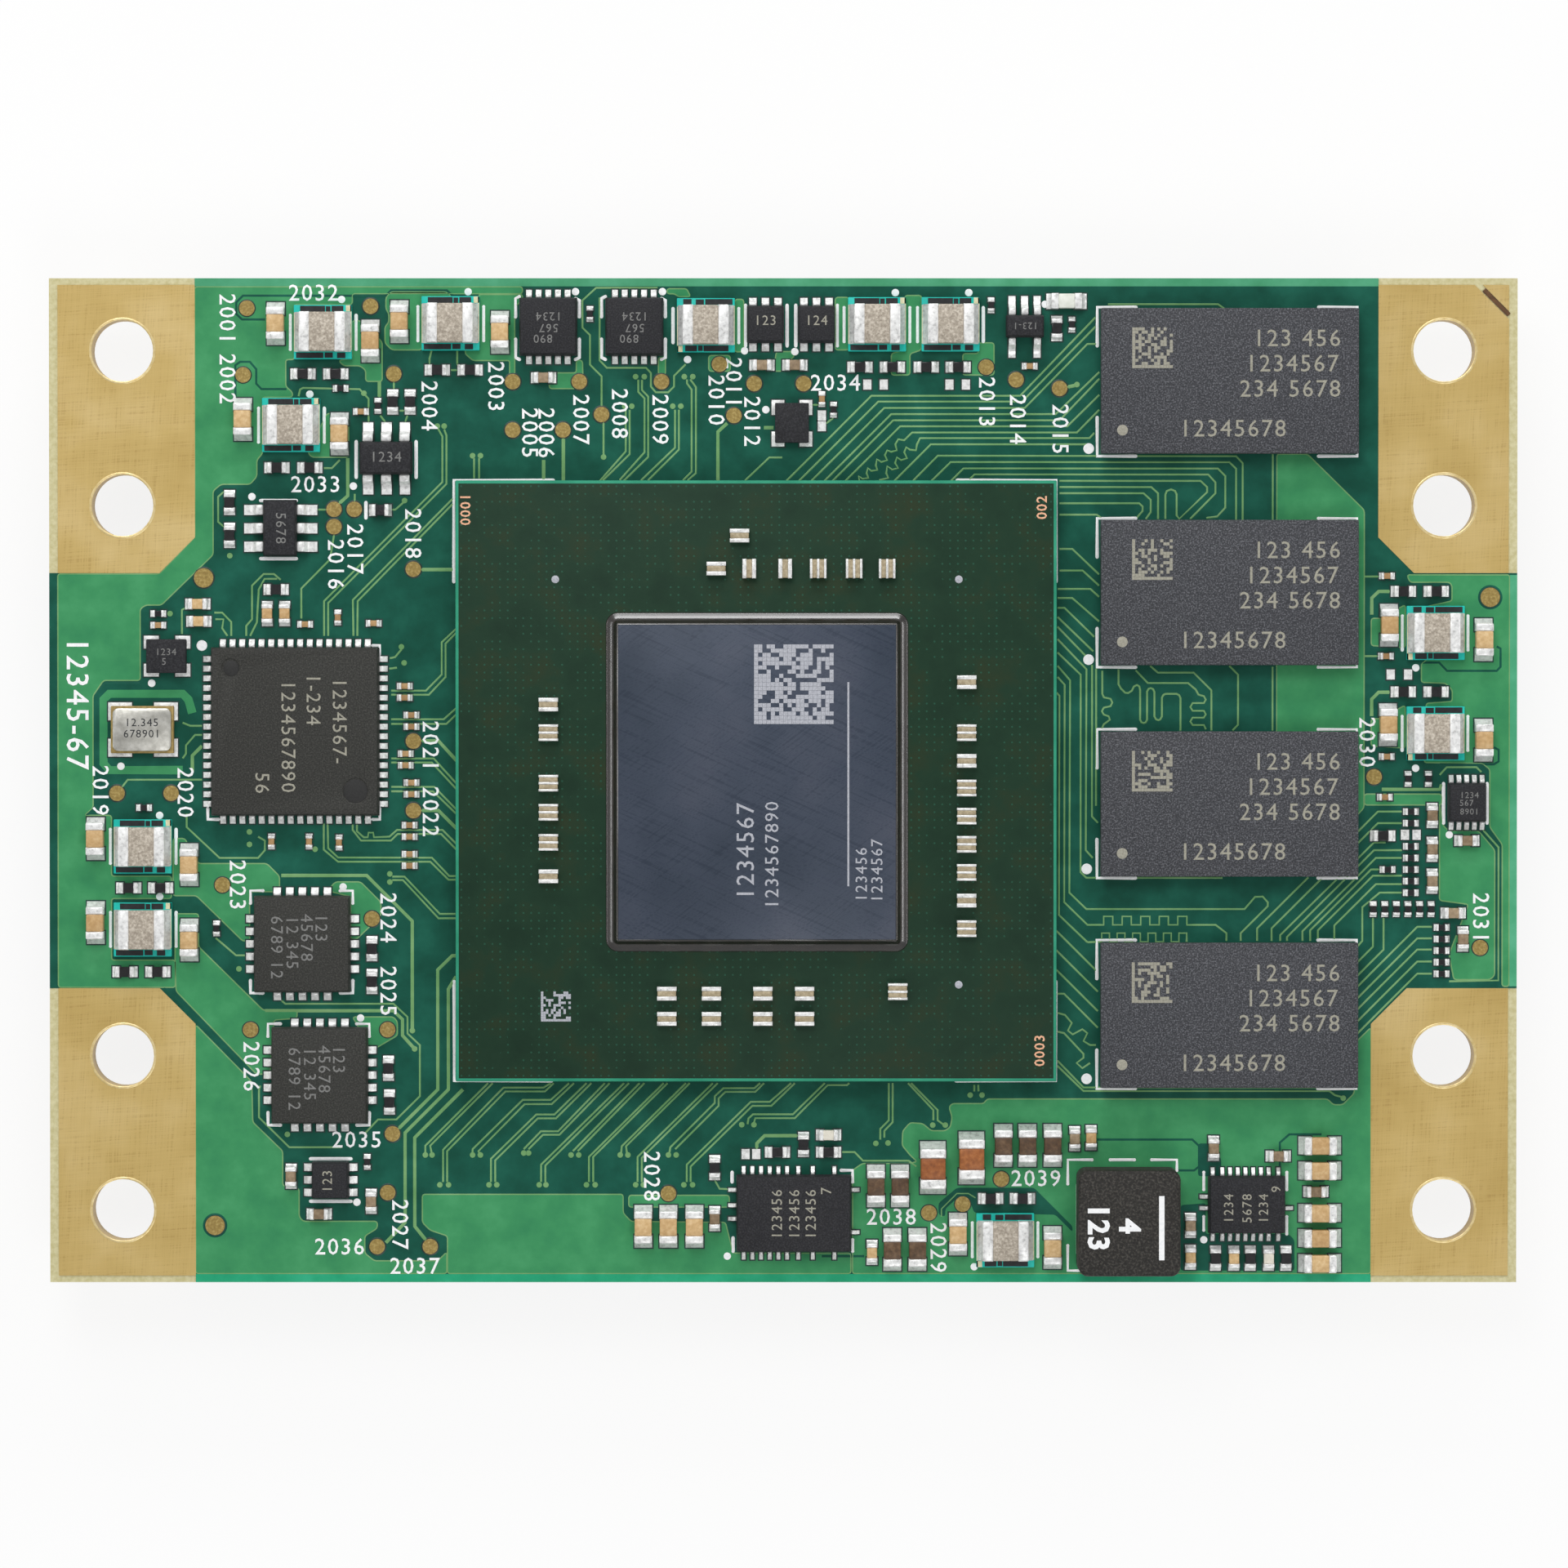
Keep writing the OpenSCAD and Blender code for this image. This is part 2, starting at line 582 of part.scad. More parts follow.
// The outline of a corner pad, out to the given reach from the board's centre
module corner_outline(reach_x, reach_y) {
  x = board_w / 2 - margin_x - pad_w + ($keyed ? key_trim : 0);
  y = board_d / 2 - margin_y - pad_d;
  polygon([
    [x, y + pad_chamfer], [x + pad_chamfer, y], [reach_x, y], [reach_x, reach_y], [x, reach_y]
  ]);
}

module corner_holes(d, z, h) {
  for (i = [0, 1])
    translate([board_w / 2 - hole_inset_x, board_d / 2 - hole_inset_y - i * hole_step, z])
      cylinder(h = h, d = d, $fn = 64);
}

// The slot across the outer corner of the keyed pad
module key_slot_outline() {
  x = board_w / 2 - margin_x + cut;
  y = board_d / 2 - margin_y + cut;
  near = key_leg + 2 * cut;
  far = near + key_slot * sqrt(2);
  polygon([[x - far, y], [x - near, y], [x, y - near], [x, y - far]]);
}

// The round pads and marks of the upper face, each wider by the given gap all round
module round_marks(z, h, gap) {
  for (p = test_at) translate([p[0], p[1], z]) cylinder(h = h, d = test_d + 2 * gap);
  for (p = fiducial_at) translate([p[0], p[1], z]) cylinder(h = h, d = fiducial_d + 2 * gap);
}

// What a corner pad keeps clear of: the round marks, and their way in to the board's middle
module clear_marks(z, h) {
  round_marks(z, h, copper_gap);
  for (p = concat(test_at, fiducial_at))
    translate([p[0] - sign(p[0]) * pad_w / 2, p[1]]) box(pad_w, fiducial_d + 2 * copper_gap, h, z);
}

// The board

module laminate() {
  color("#d9d3a8") difference() {
    box(board_w, board_d, board_t, core_z);
    corners() corner_holes(hole_d + 2 * plating_t, core_z - cut, board_t + 2 * cut);
  }
}

// A mask skin, open over the corner pads but for what its children keep covered
module mask_skin(z) {
  difference() {
    box(board_w, board_d, mask_t, z);
    difference() {
      corners() translate([0, 0, z - cut]) linear_extrude(mask_t + 2 * cut)
        corner_outline(board_w / 2 + cut, board_d / 2 + cut);
      children();
    }
  }
}

module mask_top() {
  color("#1f6b4f") mask_skin(core_top_z) clear_marks(core_top_z - 2 * cut, mask_t + 4 * cut);
}

module mask_bottom() {
  color("#1f6b4f") mask_skin(under_z);
}

module corner_pads() {
  color("#b5954e") difference() {
    corners() difference() {
      union() {
        for (z = [core_z - pad_t, core_top_z]) translate([0, 0, z]) linear_extrude(pad_t)
          corner_outline(board_w / 2 - margin_x, board_d / 2 - margin_y);
        corner_holes(hole_d + 2 * plating_t, core_z, board_t);
      }
      corner_holes(hole_d, core_z - cut, board_t + 2 * cut);
    }
    translate([0, 0, core_top_z]) linear_extrude(cut) key_slot_outline();
    clear_marks(core_top_z, cut);
  }
}

module test_pads() {
  color("#b98f45") round_marks(top_z, pad_t, 0);
}

module bare_lands() {
  color("#e6e6e2") for (p = bare_at) translate([p[0], p[1], top_z]) box(bare_w, bare_d, solder_t);
}

// The processor

module processor_substrate() {
  color("#26352a") on_top(proc_at) box(proc_w, proc_w, proc_t, ball_h);
}

module processor_balls() {
  color("#c9ccce") on_top(proc_at)
    row(ball_count, ball_pitch) rotate(90) row(ball_count, ball_pitch) solder_ball(ball_d, ball_h);
}

module processor_die() {
  color("#46505c") on_substrate([[die_at[0], die_at[1], 0]]) box(die_w, die_d, die_t);
}

module processor_underfill() {
  top = 0.01;
  color("#3d382f") on_substrate([[die_at[0], die_at[1], 0]]) difference() {
    hull() {
      rounded_slab(die_w + 2 * fillet_w, die_d + 2 * fillet_w, top, fillet_w);
      rounded_slab(die_w + 2 * fillet_top, die_d + 2 * fillet_top, top, fillet_top, die_t * fillet_climb);
    }
    box(die_w, die_d, die_t + cut, -cut / 2);
  }
}

// The bands of a capacitor on the substrate run along its long sides
module sub_cap_body(l, w, bands) {
  band = w * sub_band_share / (bands - 1);
  gap = (w - bands * band) / (bands - 1);
  for (i = [0:bands - 2]) translate([0, -w / 2 + band + i * (band + gap) + gap / 2, 0])
    box(l - 2 * band_skin, gap, sub_cap_h - 2 * band_skin, band_skin);
}

module sub_cap_terminals(l, w, bands) {
  band = w * sub_band_share / (bands - 1);
  row(bands, (w - band) / (bands - 1)) box(l, band, sub_cap_h);
}

module processor_capacitor_bodies() {
  color("#a8926a") {
    on_substrate(sub_cap_at) sub_cap_body(sub_cap_l, sub_cap_w, 2);
    on_substrate(wide_cap_at) sub_cap_body(sub_cap_l, wide_cap_w, 3);
  }
}

module processor_capacitor_terminals() {
  color("#dcdcd8") {
    on_substrate(sub_cap_at) sub_cap_terminals(sub_cap_l, sub_cap_w, 2);
    on_substrate(wide_cap_at) sub_cap_terminals(sub_cap_l, wide_cap_w, 3);
  }
}

// The memory

module memory_substrates() {
  color("#2c3a2e") on_top(mem_at) box(mem_w, mem_d, mem_base_t, mem_ball_h);
}

module memory_molds() {
  color("#3c3c40") on_top(mem_at) box(mem_w, mem_d, mem_mold_t, mem_ball_h + mem_base_t);
}

module memory_balls() {
  color("#c9ccce") on_top(mem_at) rotate(90) for (s = [-1, 1]) translate([s * mem_col_step, 0, 0])
    rotate(90) row(mem_cols, mem_pitch) rotate(-90) row(mem_rows, mem_pitch)
      solder_ball(mem_ball_d, mem_ball_h);
}

// The leaded packages

module clock_chip_body() {
  color("#3b3a3c") on_top(clock_at) difference() {
    flat_package(clock_w, clock_w, flat_h);
    for (m = clock_marks) translate([m[0], m[1], flat_h - mark_depth]) cylinder(h = cut, d = m[2]);
  }
}

module clock_chip_leads() {
  color("#d9d9d6") on_top(clock_at) sides([0:90:270], clock_w / 2)
    row(clock_count, clock_pitch) flat_lead(clock_pitch * lead_share);
}

module regulator_bodies() {
  color("#403c3b") on_top(regulator_at) flat_package(regulator_w, regulator_w, flat_h);
}

module regulator_leads() {
  color("#d9d9d6") on_top(regulator_at) sides([0:90:270], regulator_w / 2)
    row(regulator_count, regulator_pitch) flat_lead(regulator_pitch * lead_share);
}

module converter_bodies() {
  color("#37373a") {
    on_top(conv_a_at) flat_package(conv_a_w, conv_a_d, conv_h);
    on_top(conv_b_at) flat_package(conv_b_w, conv_b_d, conv_h);
  }
}

// Leads at given places along the sides of a w by d body
module listed_leads(w, d, cols, left, right) {
  width = regulator_pitch * lead_share / 2;
  for (x = cols, s = [0, 1]) mirror([0, s, 0]) translate([x, d / 2, 0]) rotate(90) flat_lead(width);
  for (y = left) translate([-w / 2, y, 0]) rotate(180) flat_lead(width);
  for (y = right) translate([w / 2, y, 0]) flat_lead(width);
}

module converter_leads() {
  color("#d9d9d6") {
    on_top(conv_a_at) listed_leads(conv_a_w, conv_a_d, conv_a_cols, conv_a_left, conv_a_right);
    on_top(conv_b_at) listed_leads(conv_b_w, conv_b_d, conv_b_cols, conv_b_left, conv_b_right);
  }
}

module switch_bodies() {
  color("#37373b") {
    on_top(switch_at) flat_package(switch_w, switch_w, flat_h);
    on_top(small_switch_at) flat_package(small_switch_w, small_switch_w, flat_h);
  }
}

module switch_leads() {
  color("#d9d9d6") {
    on_top(switch_at) sides([90, 270], switch_w / 2)
      row(switch_count, switch_pitch) flat_lead(switch_pitch * lead_share);
    on_top(small_switch_at) sides([90, 270], small_switch_w / 2)
      row(switch_count, small_switch_pitch) flat_lead(small_switch_pitch * lead_share);
  }
}

module driver_bodies() {
  color("#37373b") on_top(driver_at) flat_package(driver_w, driver_w, flat_h);
}

module driver_leads() {
  color("#d9d9d6") on_top(driver_at) sides([90, 270], driver_w / 2)
    row(driver_count, driver_pitch) flat_lead(driver_pitch * lead_share);
}

module transistor_bodies() {
  color("#343032") for (p = outline_at)
    on_top([p]) moulded_body(p[3], p[4], outline_gap, outline_h, outline_h / 2, outline_h / 2 + gull_t);
}

module transistor_leads() {
  color("#d9d9d6") for (p = outline_at) on_top([p]) {
    for (i = p[5]) translate([i * p[7], p[4] / 2, 0]) rotate(90) gull_lead(p[7] * gull_share);
    for (i = p[6]) translate([i * p[7], -p[4] / 2, 0]) rotate(-90) gull_lead(p[7] * gull_share);
  }
}

// The power parts

module module_boards() {
  color("#1e9f98") on_top(module_at) box(mod_w, mod_d, mod_t);
}

module module_inductors() {
  color("#a39a8d") on_top(module_at)
    box(mod_chip_l - 2 * mod_band, mod_chip_w - 2 * band_skin, mod_chip_h - band_skin, mod_t);
}

module module_terminals() {
  end = mod_chip_l / 2;
  color("#d0d0ce") on_top(module_at) translate([0, 0, mod_t])
    end_bands(end - mod_band, end, end + mod_foot, mod_chip_w, mod_chip_h);
}

module power_inductor_body() {
  color("#35322f") on_top(coil_at) rounded_slab(coil_w, coil_d, coil_h, coil_r, coil_foot_t);
}

module power_inductor_terminals() {
  color("#c4c4c0") on_top(coil_at) for (s = [-1, 1])
    translate([s * (coil_w - coil_foot_w) / 2, 0, 0]) box(coil_foot_w, coil_foot_d, coil_foot_t);
}

// The crystals

module crystal_base() {
  color("#8c7a4c") on_top(crystal_at) flat_body(crystal_w, crystal_d, crystal_base_h);
}

module crystal_lid() {
  color("#b9b9b9") on_top(crystal_at)
    rounded_slab(
      crystal_w - 2 * crystal_rim, crystal_d - 2 * crystal_rim, crystal_lid_h, crystal_lid_r, crystal_base_h
    );
}

module oscillator_bodies() {
  color("#2c2b2c") on_top(osc_at) flat_body(osc_l, osc_w, osc_h);
}

// A land under each corner of a w by d part
module corner_lands(w, d) {
  x = w * (1 - land_share) / 2 + corner_reach;
  y = d * (1 - land_share) / 2 + corner_reach;
  for (sx = [-1, 1], sy = [-1, 1]) translate([sx * x, sy * y, 0])
    box(w * land_share, d * land_share, solder_t);
}

module oscillator_lands() {
  color("#e0e0dc") {
    on_top(crystal_at) corner_lands(crystal_w, crystal_d);
    on_top(osc_at) corner_lands(osc_l, osc_w);
  }
}

// The diodes

module led_body() {
  color("#efe9d2") on_top(led_at) chip_body(led_l, led_w, led_h);
}

module signal_diode_body() {
  color("#2a2a2c") on_top(diode_at) chip_body(diode_l, diode_w, diode_h);
}

module diode_terminals() {
  color("#dcdcd8") {
    on_top(led_at) chip_terminals(led_l, led_w, led_h);
    on_top(diode_at) chip_terminals(diode_l, diode_w, diode_h);
  }
}

// The chip parts

module capacitor_0805_bodies() {
  color("#8a4f2a") on_top(c0805_at) chip_body(c0805_l, c0805_w, c0805_h);
}

module capacitor_0805_terminals() {
  color("#dcdcd8") on_top(c0805_at) chip_terminals(c0805_l, c0805_w, c0805_h);
}

module capacitor_0603_tan_bodies() {
  color("#c9a671") on_top(c0603_tan_at) chip_body(c0603_l, c0603_w, c0603_h);
}

module capacitor_0603_dark_bodies() {
  color("#6a5037") on_top(c0603_dark_at) chip_body(c0603_l, c0603_w, c0603_h);
}

module capacitor_0603_terminals() {
  color("#dcdcd8") on_top(concat(c0603_tan_at, c0603_dark_at)) chip_terminals(c0603_l, c0603_w, c0603_h);
}

module capacitor_0402_bodies() {
  color("#8d7b62") on_top(c0402_at) chip_body(c0402_l, c0402_w, c0402_h);
}

module capacitor_0402_terminals() {
  color("#dcdcd8") on_top(c0402_at) chip_terminals(c0402_l, c0402_w, c0402_h);
}

module capacitor_0201_bodies() {
  color("#b08a5a") on_top(c0201_at) chip_body(c0201_l, c0201_w, c0201_h);
}

module capacitor_0201_terminals() {
  color("#dcdcd8") on_top(c0201_at) chip_terminals(c0201_l, c0201_w, c0201_h);
}

module resistor_0402_bodies() {
  color("#1e1d1f") on_top(r0402_at) chip_body(c0402_l, c0402_w, r0402_h);
}

module resistor_0402_terminals() {
  color("#dcdcd8") on_top(r0402_at) chip_terminals(c0402_l, c0402_w, r0402_h);
}

module resistor_0201_bodies() {
  color("#1e1d1f") on_top(r0201_at) chip_body(c0201_l, c0201_w, c0201_h);
}

module resistor_0201_terminals() {
  color("#dcdcd8") on_top(r0201_at) chip_terminals(c0201_l, c0201_w, c0201_h);
}

// The connectors

module housing() {
  linear_extrude(conn_h - contact_t) difference() {
    polygon([
      [-conn_l / 2, conn_key - conn_w / 2], [conn_key - conn_l / 2, -conn_w / 2],
      [conn_l / 2, -conn_w / 2], [conn_l / 2, conn_w / 2],
      [conn_key - conn_l / 2, conn_w / 2], [-conn_l / 2, conn_w / 2 - conn_key]
    ]);
    square([slot_l, slot_w], center = true);
  }
}

// A contact: a beam on the slot's wall and a tail between the housing and the board
module contact() {
  rotate([90, 0, 0]) linear_extrude(contact_w, center = true)
    polygon([
      [slot_w / 2 - contact_t, contact_tip], [slot_w / 2, contact_tip],
      [slot_w / 2, conn_h - contact_t], [conn_w / 2 + tail_reach, conn_h - contact_t],
      [conn_w / 2 + tail_reach, conn_h], [slot_w / 2 - contact_t, conn_h]
    ]);
}

module contacts() {
  for (t = [90, 270]) rotate(t) row(contact_count, contact_pitch) contact();
}

module connector_housings() {
  color("#2b2a28") hang_connector(concat(long_conn_at, side_conn_at)) housing();
}

module long_connector_contacts() {
  color("#c6a552") hang_connector(long_conn_at) contacts();
}

module side_connector_contacts() {
  color("#c6a552") hang_connector(side_conn_at) contacts();
}

// The underside

module boot_memory_bodies() {
  color("#37373a") underneath(flash_at) flat_package(flash_w, flash_d, flat_h);
}

module boot_memory_leads() {
  color("#d9d9d6") underneath(flash_at) sides([0, 180], flash_w / 2)
    row(flash_count, flash_pitch) flat_lead(regulator_pitch * lead_share);
}

module decoupling_bodies() {
  color("#8d7b62") underneath(decap_at) chip_body(c0402_l, c0402_w, c0402_h);
}

module decoupling_terminals() {
  color("#dcdcd8") underneath(decap_at) chip_terminals(c0402_l, c0402_w, c0402_h);
}

laminate();
mask_top();
mask_bottom();
corner_pads();
test_pads();
bare_lands();
processor_substrate();
processor_die();
processor_underfill();
processor_balls();
processor_capacitor_bodies();
processor_capacitor_terminals();
memory_substrates();
memory_molds();
memory_balls();
clock_chip_body();
clock_chip_leads();
regulator_bodies();
regulator_leads();
converter_bodies();
converter_leads();
switch_bodies();
switch_leads();
driver_bodies();
driver_leads();
transistor_bodies();
transistor_leads();
module_boards();
module_inductors();
module_terminals();
power_inductor_body();
power_inductor_terminals();
crystal_base();
crystal_lid();
oscillator_bodies();
oscillator_lands();
led_body();
signal_diode_body();
diode_terminals();
capacitor_0805_bodies();
capacitor_0805_terminals();
capacitor_0603_tan_bodies();
capacitor_0603_dark_bodies();
capacitor_0603_terminals();
capacitor_0402_bodies();
capacitor_0402_terminals();
capacitor_0201_bodies();
capacitor_0201_terminals();
resistor_0402_bodies();
resistor_0402_terminals();
resistor_0201_bodies();
resistor_0201_terminals();
connector_housings();
long_connector_contacts();
side_connector_contacts();
boot_memory_bodies();
boot_memory_leads();
decoupling_bodies();
decoupling_terminals();
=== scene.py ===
import math
import random
import bmesh
import bpy
from mathutils import Matrix, Vector


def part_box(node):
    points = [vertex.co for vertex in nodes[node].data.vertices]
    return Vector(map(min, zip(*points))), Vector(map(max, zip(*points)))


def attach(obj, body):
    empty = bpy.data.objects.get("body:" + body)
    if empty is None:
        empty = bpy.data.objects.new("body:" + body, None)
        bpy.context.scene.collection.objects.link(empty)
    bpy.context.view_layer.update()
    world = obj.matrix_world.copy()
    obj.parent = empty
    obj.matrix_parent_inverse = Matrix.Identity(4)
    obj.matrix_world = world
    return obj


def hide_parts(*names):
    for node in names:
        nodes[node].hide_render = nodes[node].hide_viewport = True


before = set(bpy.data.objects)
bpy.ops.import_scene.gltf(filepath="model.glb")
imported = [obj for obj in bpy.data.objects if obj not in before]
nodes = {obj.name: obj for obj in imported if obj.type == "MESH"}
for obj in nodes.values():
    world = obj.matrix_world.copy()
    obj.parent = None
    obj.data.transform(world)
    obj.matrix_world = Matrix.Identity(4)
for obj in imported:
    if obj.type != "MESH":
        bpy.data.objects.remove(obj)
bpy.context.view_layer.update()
scene = bpy.context.scene
scene.view_settings.view_transform = "Standard"
mm = 0.001
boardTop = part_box("mask_top")[1].z
print("frame loaded with", len(nodes), "nodes")


# finishes
def paint(code):
    parts = [int(code[i:i + 2], 16) / 255 for i in (1, 3, 5)]
    return [c / 12.92 if c <= 0.04045 else ((c + 0.055) / 1.055) ** 2.4 for c in parts] + [1.0]


def startFinish(name, roughness, metallic=0.0, specular=0.5, coat=0.0):
    finish = bpy.data.materials.new(name)
    finish.use_nodes = True
    tree = finish.node_tree
    shader = tree.nodes["Principled BSDF"]
    shader.inputs["Roughness"].default_value = roughness
    shader.inputs["Metallic"].default_value = metallic
    shader.inputs["Specular IOR Level"].default_value = specular
    shader.inputs["Coat Weight"].default_value = coat
    shader.inputs["Coat Roughness"].default_value = 0.2
    return finish, tree, shader


def objectPoint(tree, centre=(0, 0, 0), turn=0.0, scale=(1, 1, 1)):
    # a point in metres from the given centre in mm, turned and stretched
    coords = tree.nodes.new("ShaderNodeTexCoord")
    place = tree.nodes.new("ShaderNodeMapping")
    place.vector_type = "TEXTURE"
    place.inputs["Location"].default_value = [c * mm for c in centre]
    place.inputs["Rotation"].default_value = (0, 0, math.radians(turn))
    place.inputs["Scale"].default_value = scale
    tree.links.new(coords.outputs["Object"], place.inputs["Vector"])
    return place.outputs["Vector"]


def noise(tree, point, grain, detail=3.0, roughness=0.55):
    node = tree.nodes.new("ShaderNodeTexNoise")
    node.inputs["Scale"].default_value = 1.0 / (grain * mm)
    node.inputs["Detail"].default_value = detail
    node.inputs["Roughness"].default_value = roughness
    tree.links.new(point, node.inputs["Vector"])
    return node.outputs["Fac"]


def ramp(tree, factor, stops):
    # stops are (position, colour) pairs
    node = tree.nodes.new("ShaderNodeValToRGB")
    marks = node.color_ramp.elements
    while len(marks) < len(stops):
        marks.new(0.5)
    for mark, (position, colour) in zip(marks, stops):
        mark.position = position
        mark.color = paint(colour)
    tree.links.new(factor, node.inputs["Fac"])
    return node.outputs["Color"]


def compute(tree, operation, first, second):
    node = tree.nodes.new("ShaderNodeMath")
    node.operation = operation
    for socket, value in zip(node.inputs, (first, second)):
        if isinstance(value, (int, float)):
            socket.default_value = value
        else:
            tree.links.new(value, socket)
    return node.outputs["Value"]


def blendColours(tree, factor, first, second, kind="MIX"):
    node = tree.nodes.new("ShaderNodeMix")
    node.data_type = "RGBA"
    node.blend_type = kind
    for socket, value in zip((node.inputs[0], node.inputs[6], node.inputs[7]), (factor, first, second)):
        if isinstance(value, (int, float, list)):
            socket.default_value = value
        else:
            tree.links.new(value, socket)
    return node.outputs[2]


def bump(tree, shader, height, depth, strength=1.0):
    node = tree.nodes.new("ShaderNodeBump")
    node.inputs["Distance"].default_value = depth * mm
    node.inputs["Strength"].default_value = strength
    tree.links.new(height, node.inputs["Height"])
    tree.links.new(node.outputs["Normal"], shader.inputs["Normal"])


def grainy(name, stops, grain, roughness, metallic=0.0, depth=0.0, coat=0.0, specular=0.5, tone=0.0):
    # a speckled finish; tone lets each chip of a row be a little lighter or darker
    finish, tree, shader = startFinish(name, roughness, metallic, specular, coat)
    point = objectPoint(tree)
    factor = noise(tree, point, grain)
    colour = ramp(tree, factor, stops)
    if tone:
        share = tree.nodes.new("ShaderNodeAttribute")
        share.attribute_name = "tone"
        shade = ramp(tree, share.outputs["Fac"], [(0.0, tone[0]), (1.0, tone[1])])
        colour = blendColours(tree, 1.0, colour, shade, "MULTIPLY")
    tree.links.new(colour, shader.inputs["Base Color"])
    if depth:
        bump(tree, shader, factor, depth)
    return finish


def goldFinish():
    # fine scratches both ways over a mottled plate
    finish, tree, shader = startFinish("gold plating", 0.45, 0.2, 0.3)
    mottle = noise(tree, objectPoint(tree), 5.0, 3.0)
    along = noise(tree, objectPoint(tree, turn=4, scale=(30, 1, 1)), 0.07, 1.0)
    across = noise(tree, objectPoint(tree, turn=-3, scale=(1, 30, 1)), 0.07, 1.0)
    lines = compute(tree, "ADD", along, across)
    wear = compute(tree, "MULTIPLY", lines, 0.5)
    base = ramp(tree, mottle, [(0.3, "#c2a562"), (0.5, "#cdb16f"), (0.7, "#d8be82")])
    scratch = ramp(tree, wear, [(0.34, "#b39c6c"), (0.44, "#f0ede6"), (0.56, "#f6f4ee"), (0.66, "#ffffff")])
    tree.links.new(blendColours(tree, 0.32, base, scratch, "MULTIPLY"), shader.inputs["Base Color"])
    bump(tree, shader, lines, 0.004)
    return finish


def solderFinish(name, stops, crinkle, roughness):
    finish, tree, shader = startFinish(name, roughness, 0.22)
    cells = noise(tree, objectPoint(tree), crinkle, 4.0, 0.6)
    tree.links.new(ramp(tree, cells, stops), shader.inputs["Base Color"])
    bump(tree, shader, cells, 0.04, 0.35)
    return finish


def maskFinish(name, stops, roughness=0.33):
    # lacquer with a weave of the glass cloth just showing
    finish, tree, shader = startFinish(name, roughness, 0.0, 0.14)
    cloud = noise(tree, objectPoint(tree), 1.6, 4.0)
    weave = noise(tree, objectPoint(tree, scale=(3, 1, 1)), 0.28, 2.0)
    tree.links.new(ramp(tree, cloud, stops), shader.inputs["Base Color"])
    bump(tree, shader, weave, 0.006, 0.6)
    return finish


def substrateFinish():
    # organic carrier: dark centre, teal rim and a grid of filled vias
    middle = (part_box("processor_substrate")[0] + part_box("processor_substrate")[1]) / 2 / mm
    half = (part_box("processor_substrate")[1].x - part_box("processor_substrate")[0].x) / 2
    finish, tree, shader = startFinish("package substrate", 0.5, 0.0, 0.12)
    point = objectPoint(tree, (middle.x, middle.y, 0))
    cloud = noise(tree, point, 2.2, 5.0)
    base = ramp(tree, cloud, [(0.3, "#1d3527"), (0.5, "#213b2b"), (0.7, "#2c3a27")])
    cell = tree.nodes.new("ShaderNodeVectorMath")
    cell.operation = "MODULO"
    shift = tree.nodes.new("ShaderNodeVectorMath")
    shift.operation = "ADD"
    shift.inputs[1].default_value = (0.0402, 0.0402, 0)
    tree.links.new(point, shift.inputs[0])
    tree.links.new(shift.outputs[0], cell.inputs[0])
    cell.inputs[1].default_value = (0.0004, 0.0004, 1)
    away = tree.nodes.new("ShaderNodeVectorMath")
    away.operation = "DISTANCE"
    flat = tree.nodes.new("ShaderNodeVectorMath")
    flat.operation = "MULTIPLY"
    flat.inputs[1].default_value = (1, 1, 0)
    tree.links.new(cell.outputs[0], flat.inputs[0])
    tree.links.new(flat.outputs[0], away.inputs[0])
    away.inputs[1].default_value = (0.0002, 0.0002, 0)
    near = compute(tree, "LESS_THAN", away.outputs["Value"], 0.00005)
    patchy = compute(tree, "GREATER_THAN", noise(tree, point, 1.1, 2.0), 0.47)
    dots = compute(tree, "MULTIPLY", near, patchy)
    dotted = blendColours(tree, dots, base, paint("#2a5341"))
    split = tree.nodes.new("ShaderNodeSeparateXYZ")
    tree.links.new(point, split.inputs[0])
    side = compute(tree, "MAXIMUM", compute(tree, "ABSOLUTE", split.outputs[0], 0),
                   compute(tree, "ABSOLUTE", split.outputs[1], 0))
    rim = compute(tree, "GREATER_THAN", side, half - 0.16 * mm)
    edge = ramp(tree, cloud, [(0.3, "#2c8a6c"), (0.7, "#3fa583")])
    tree.links.new(blendColours(tree, rim, dotted, edge), shader.inputs["Base Color"])
    bump(tree, shader, noise(tree, point, 0.3, 2.0), 0.006)
    return finish


def dieFinish():
    # ground silicon: satin, with slanting grinding lines
    finish, tree, shader = startFinish("silicon", 0.36, 0.1, 0.2)
    cloud = noise(tree, objectPoint(tree, (-1.4, 0, 0)), 9.0, 3.0)
    lines = noise(tree, objectPoint(tree, turn=38, scale=(30, 1, 1)), 0.1, 2.0)
    other = noise(tree, objectPoint(tree, turn=-24, scale=(26, 1, 1)), 0.14, 1.0)
    base = ramp(tree, cloud, [(0.32, "#39424f"), (0.5, "#464e5c"), (0.68, "#555a67")])
    marks = ramp(tree, compute(tree, "MULTIPLY", lines, other), [(0.12, "#c8ccd4"), (0.25, "#ffffff"),
        (0.42, "#e4e2ea")])
    tree.links.new(blendColours(tree, 0.7, base, marks, "MULTIPLY"), shader.inputs["Base Color"])
    bump(tree, shader, lines, 0.003)
    return finish


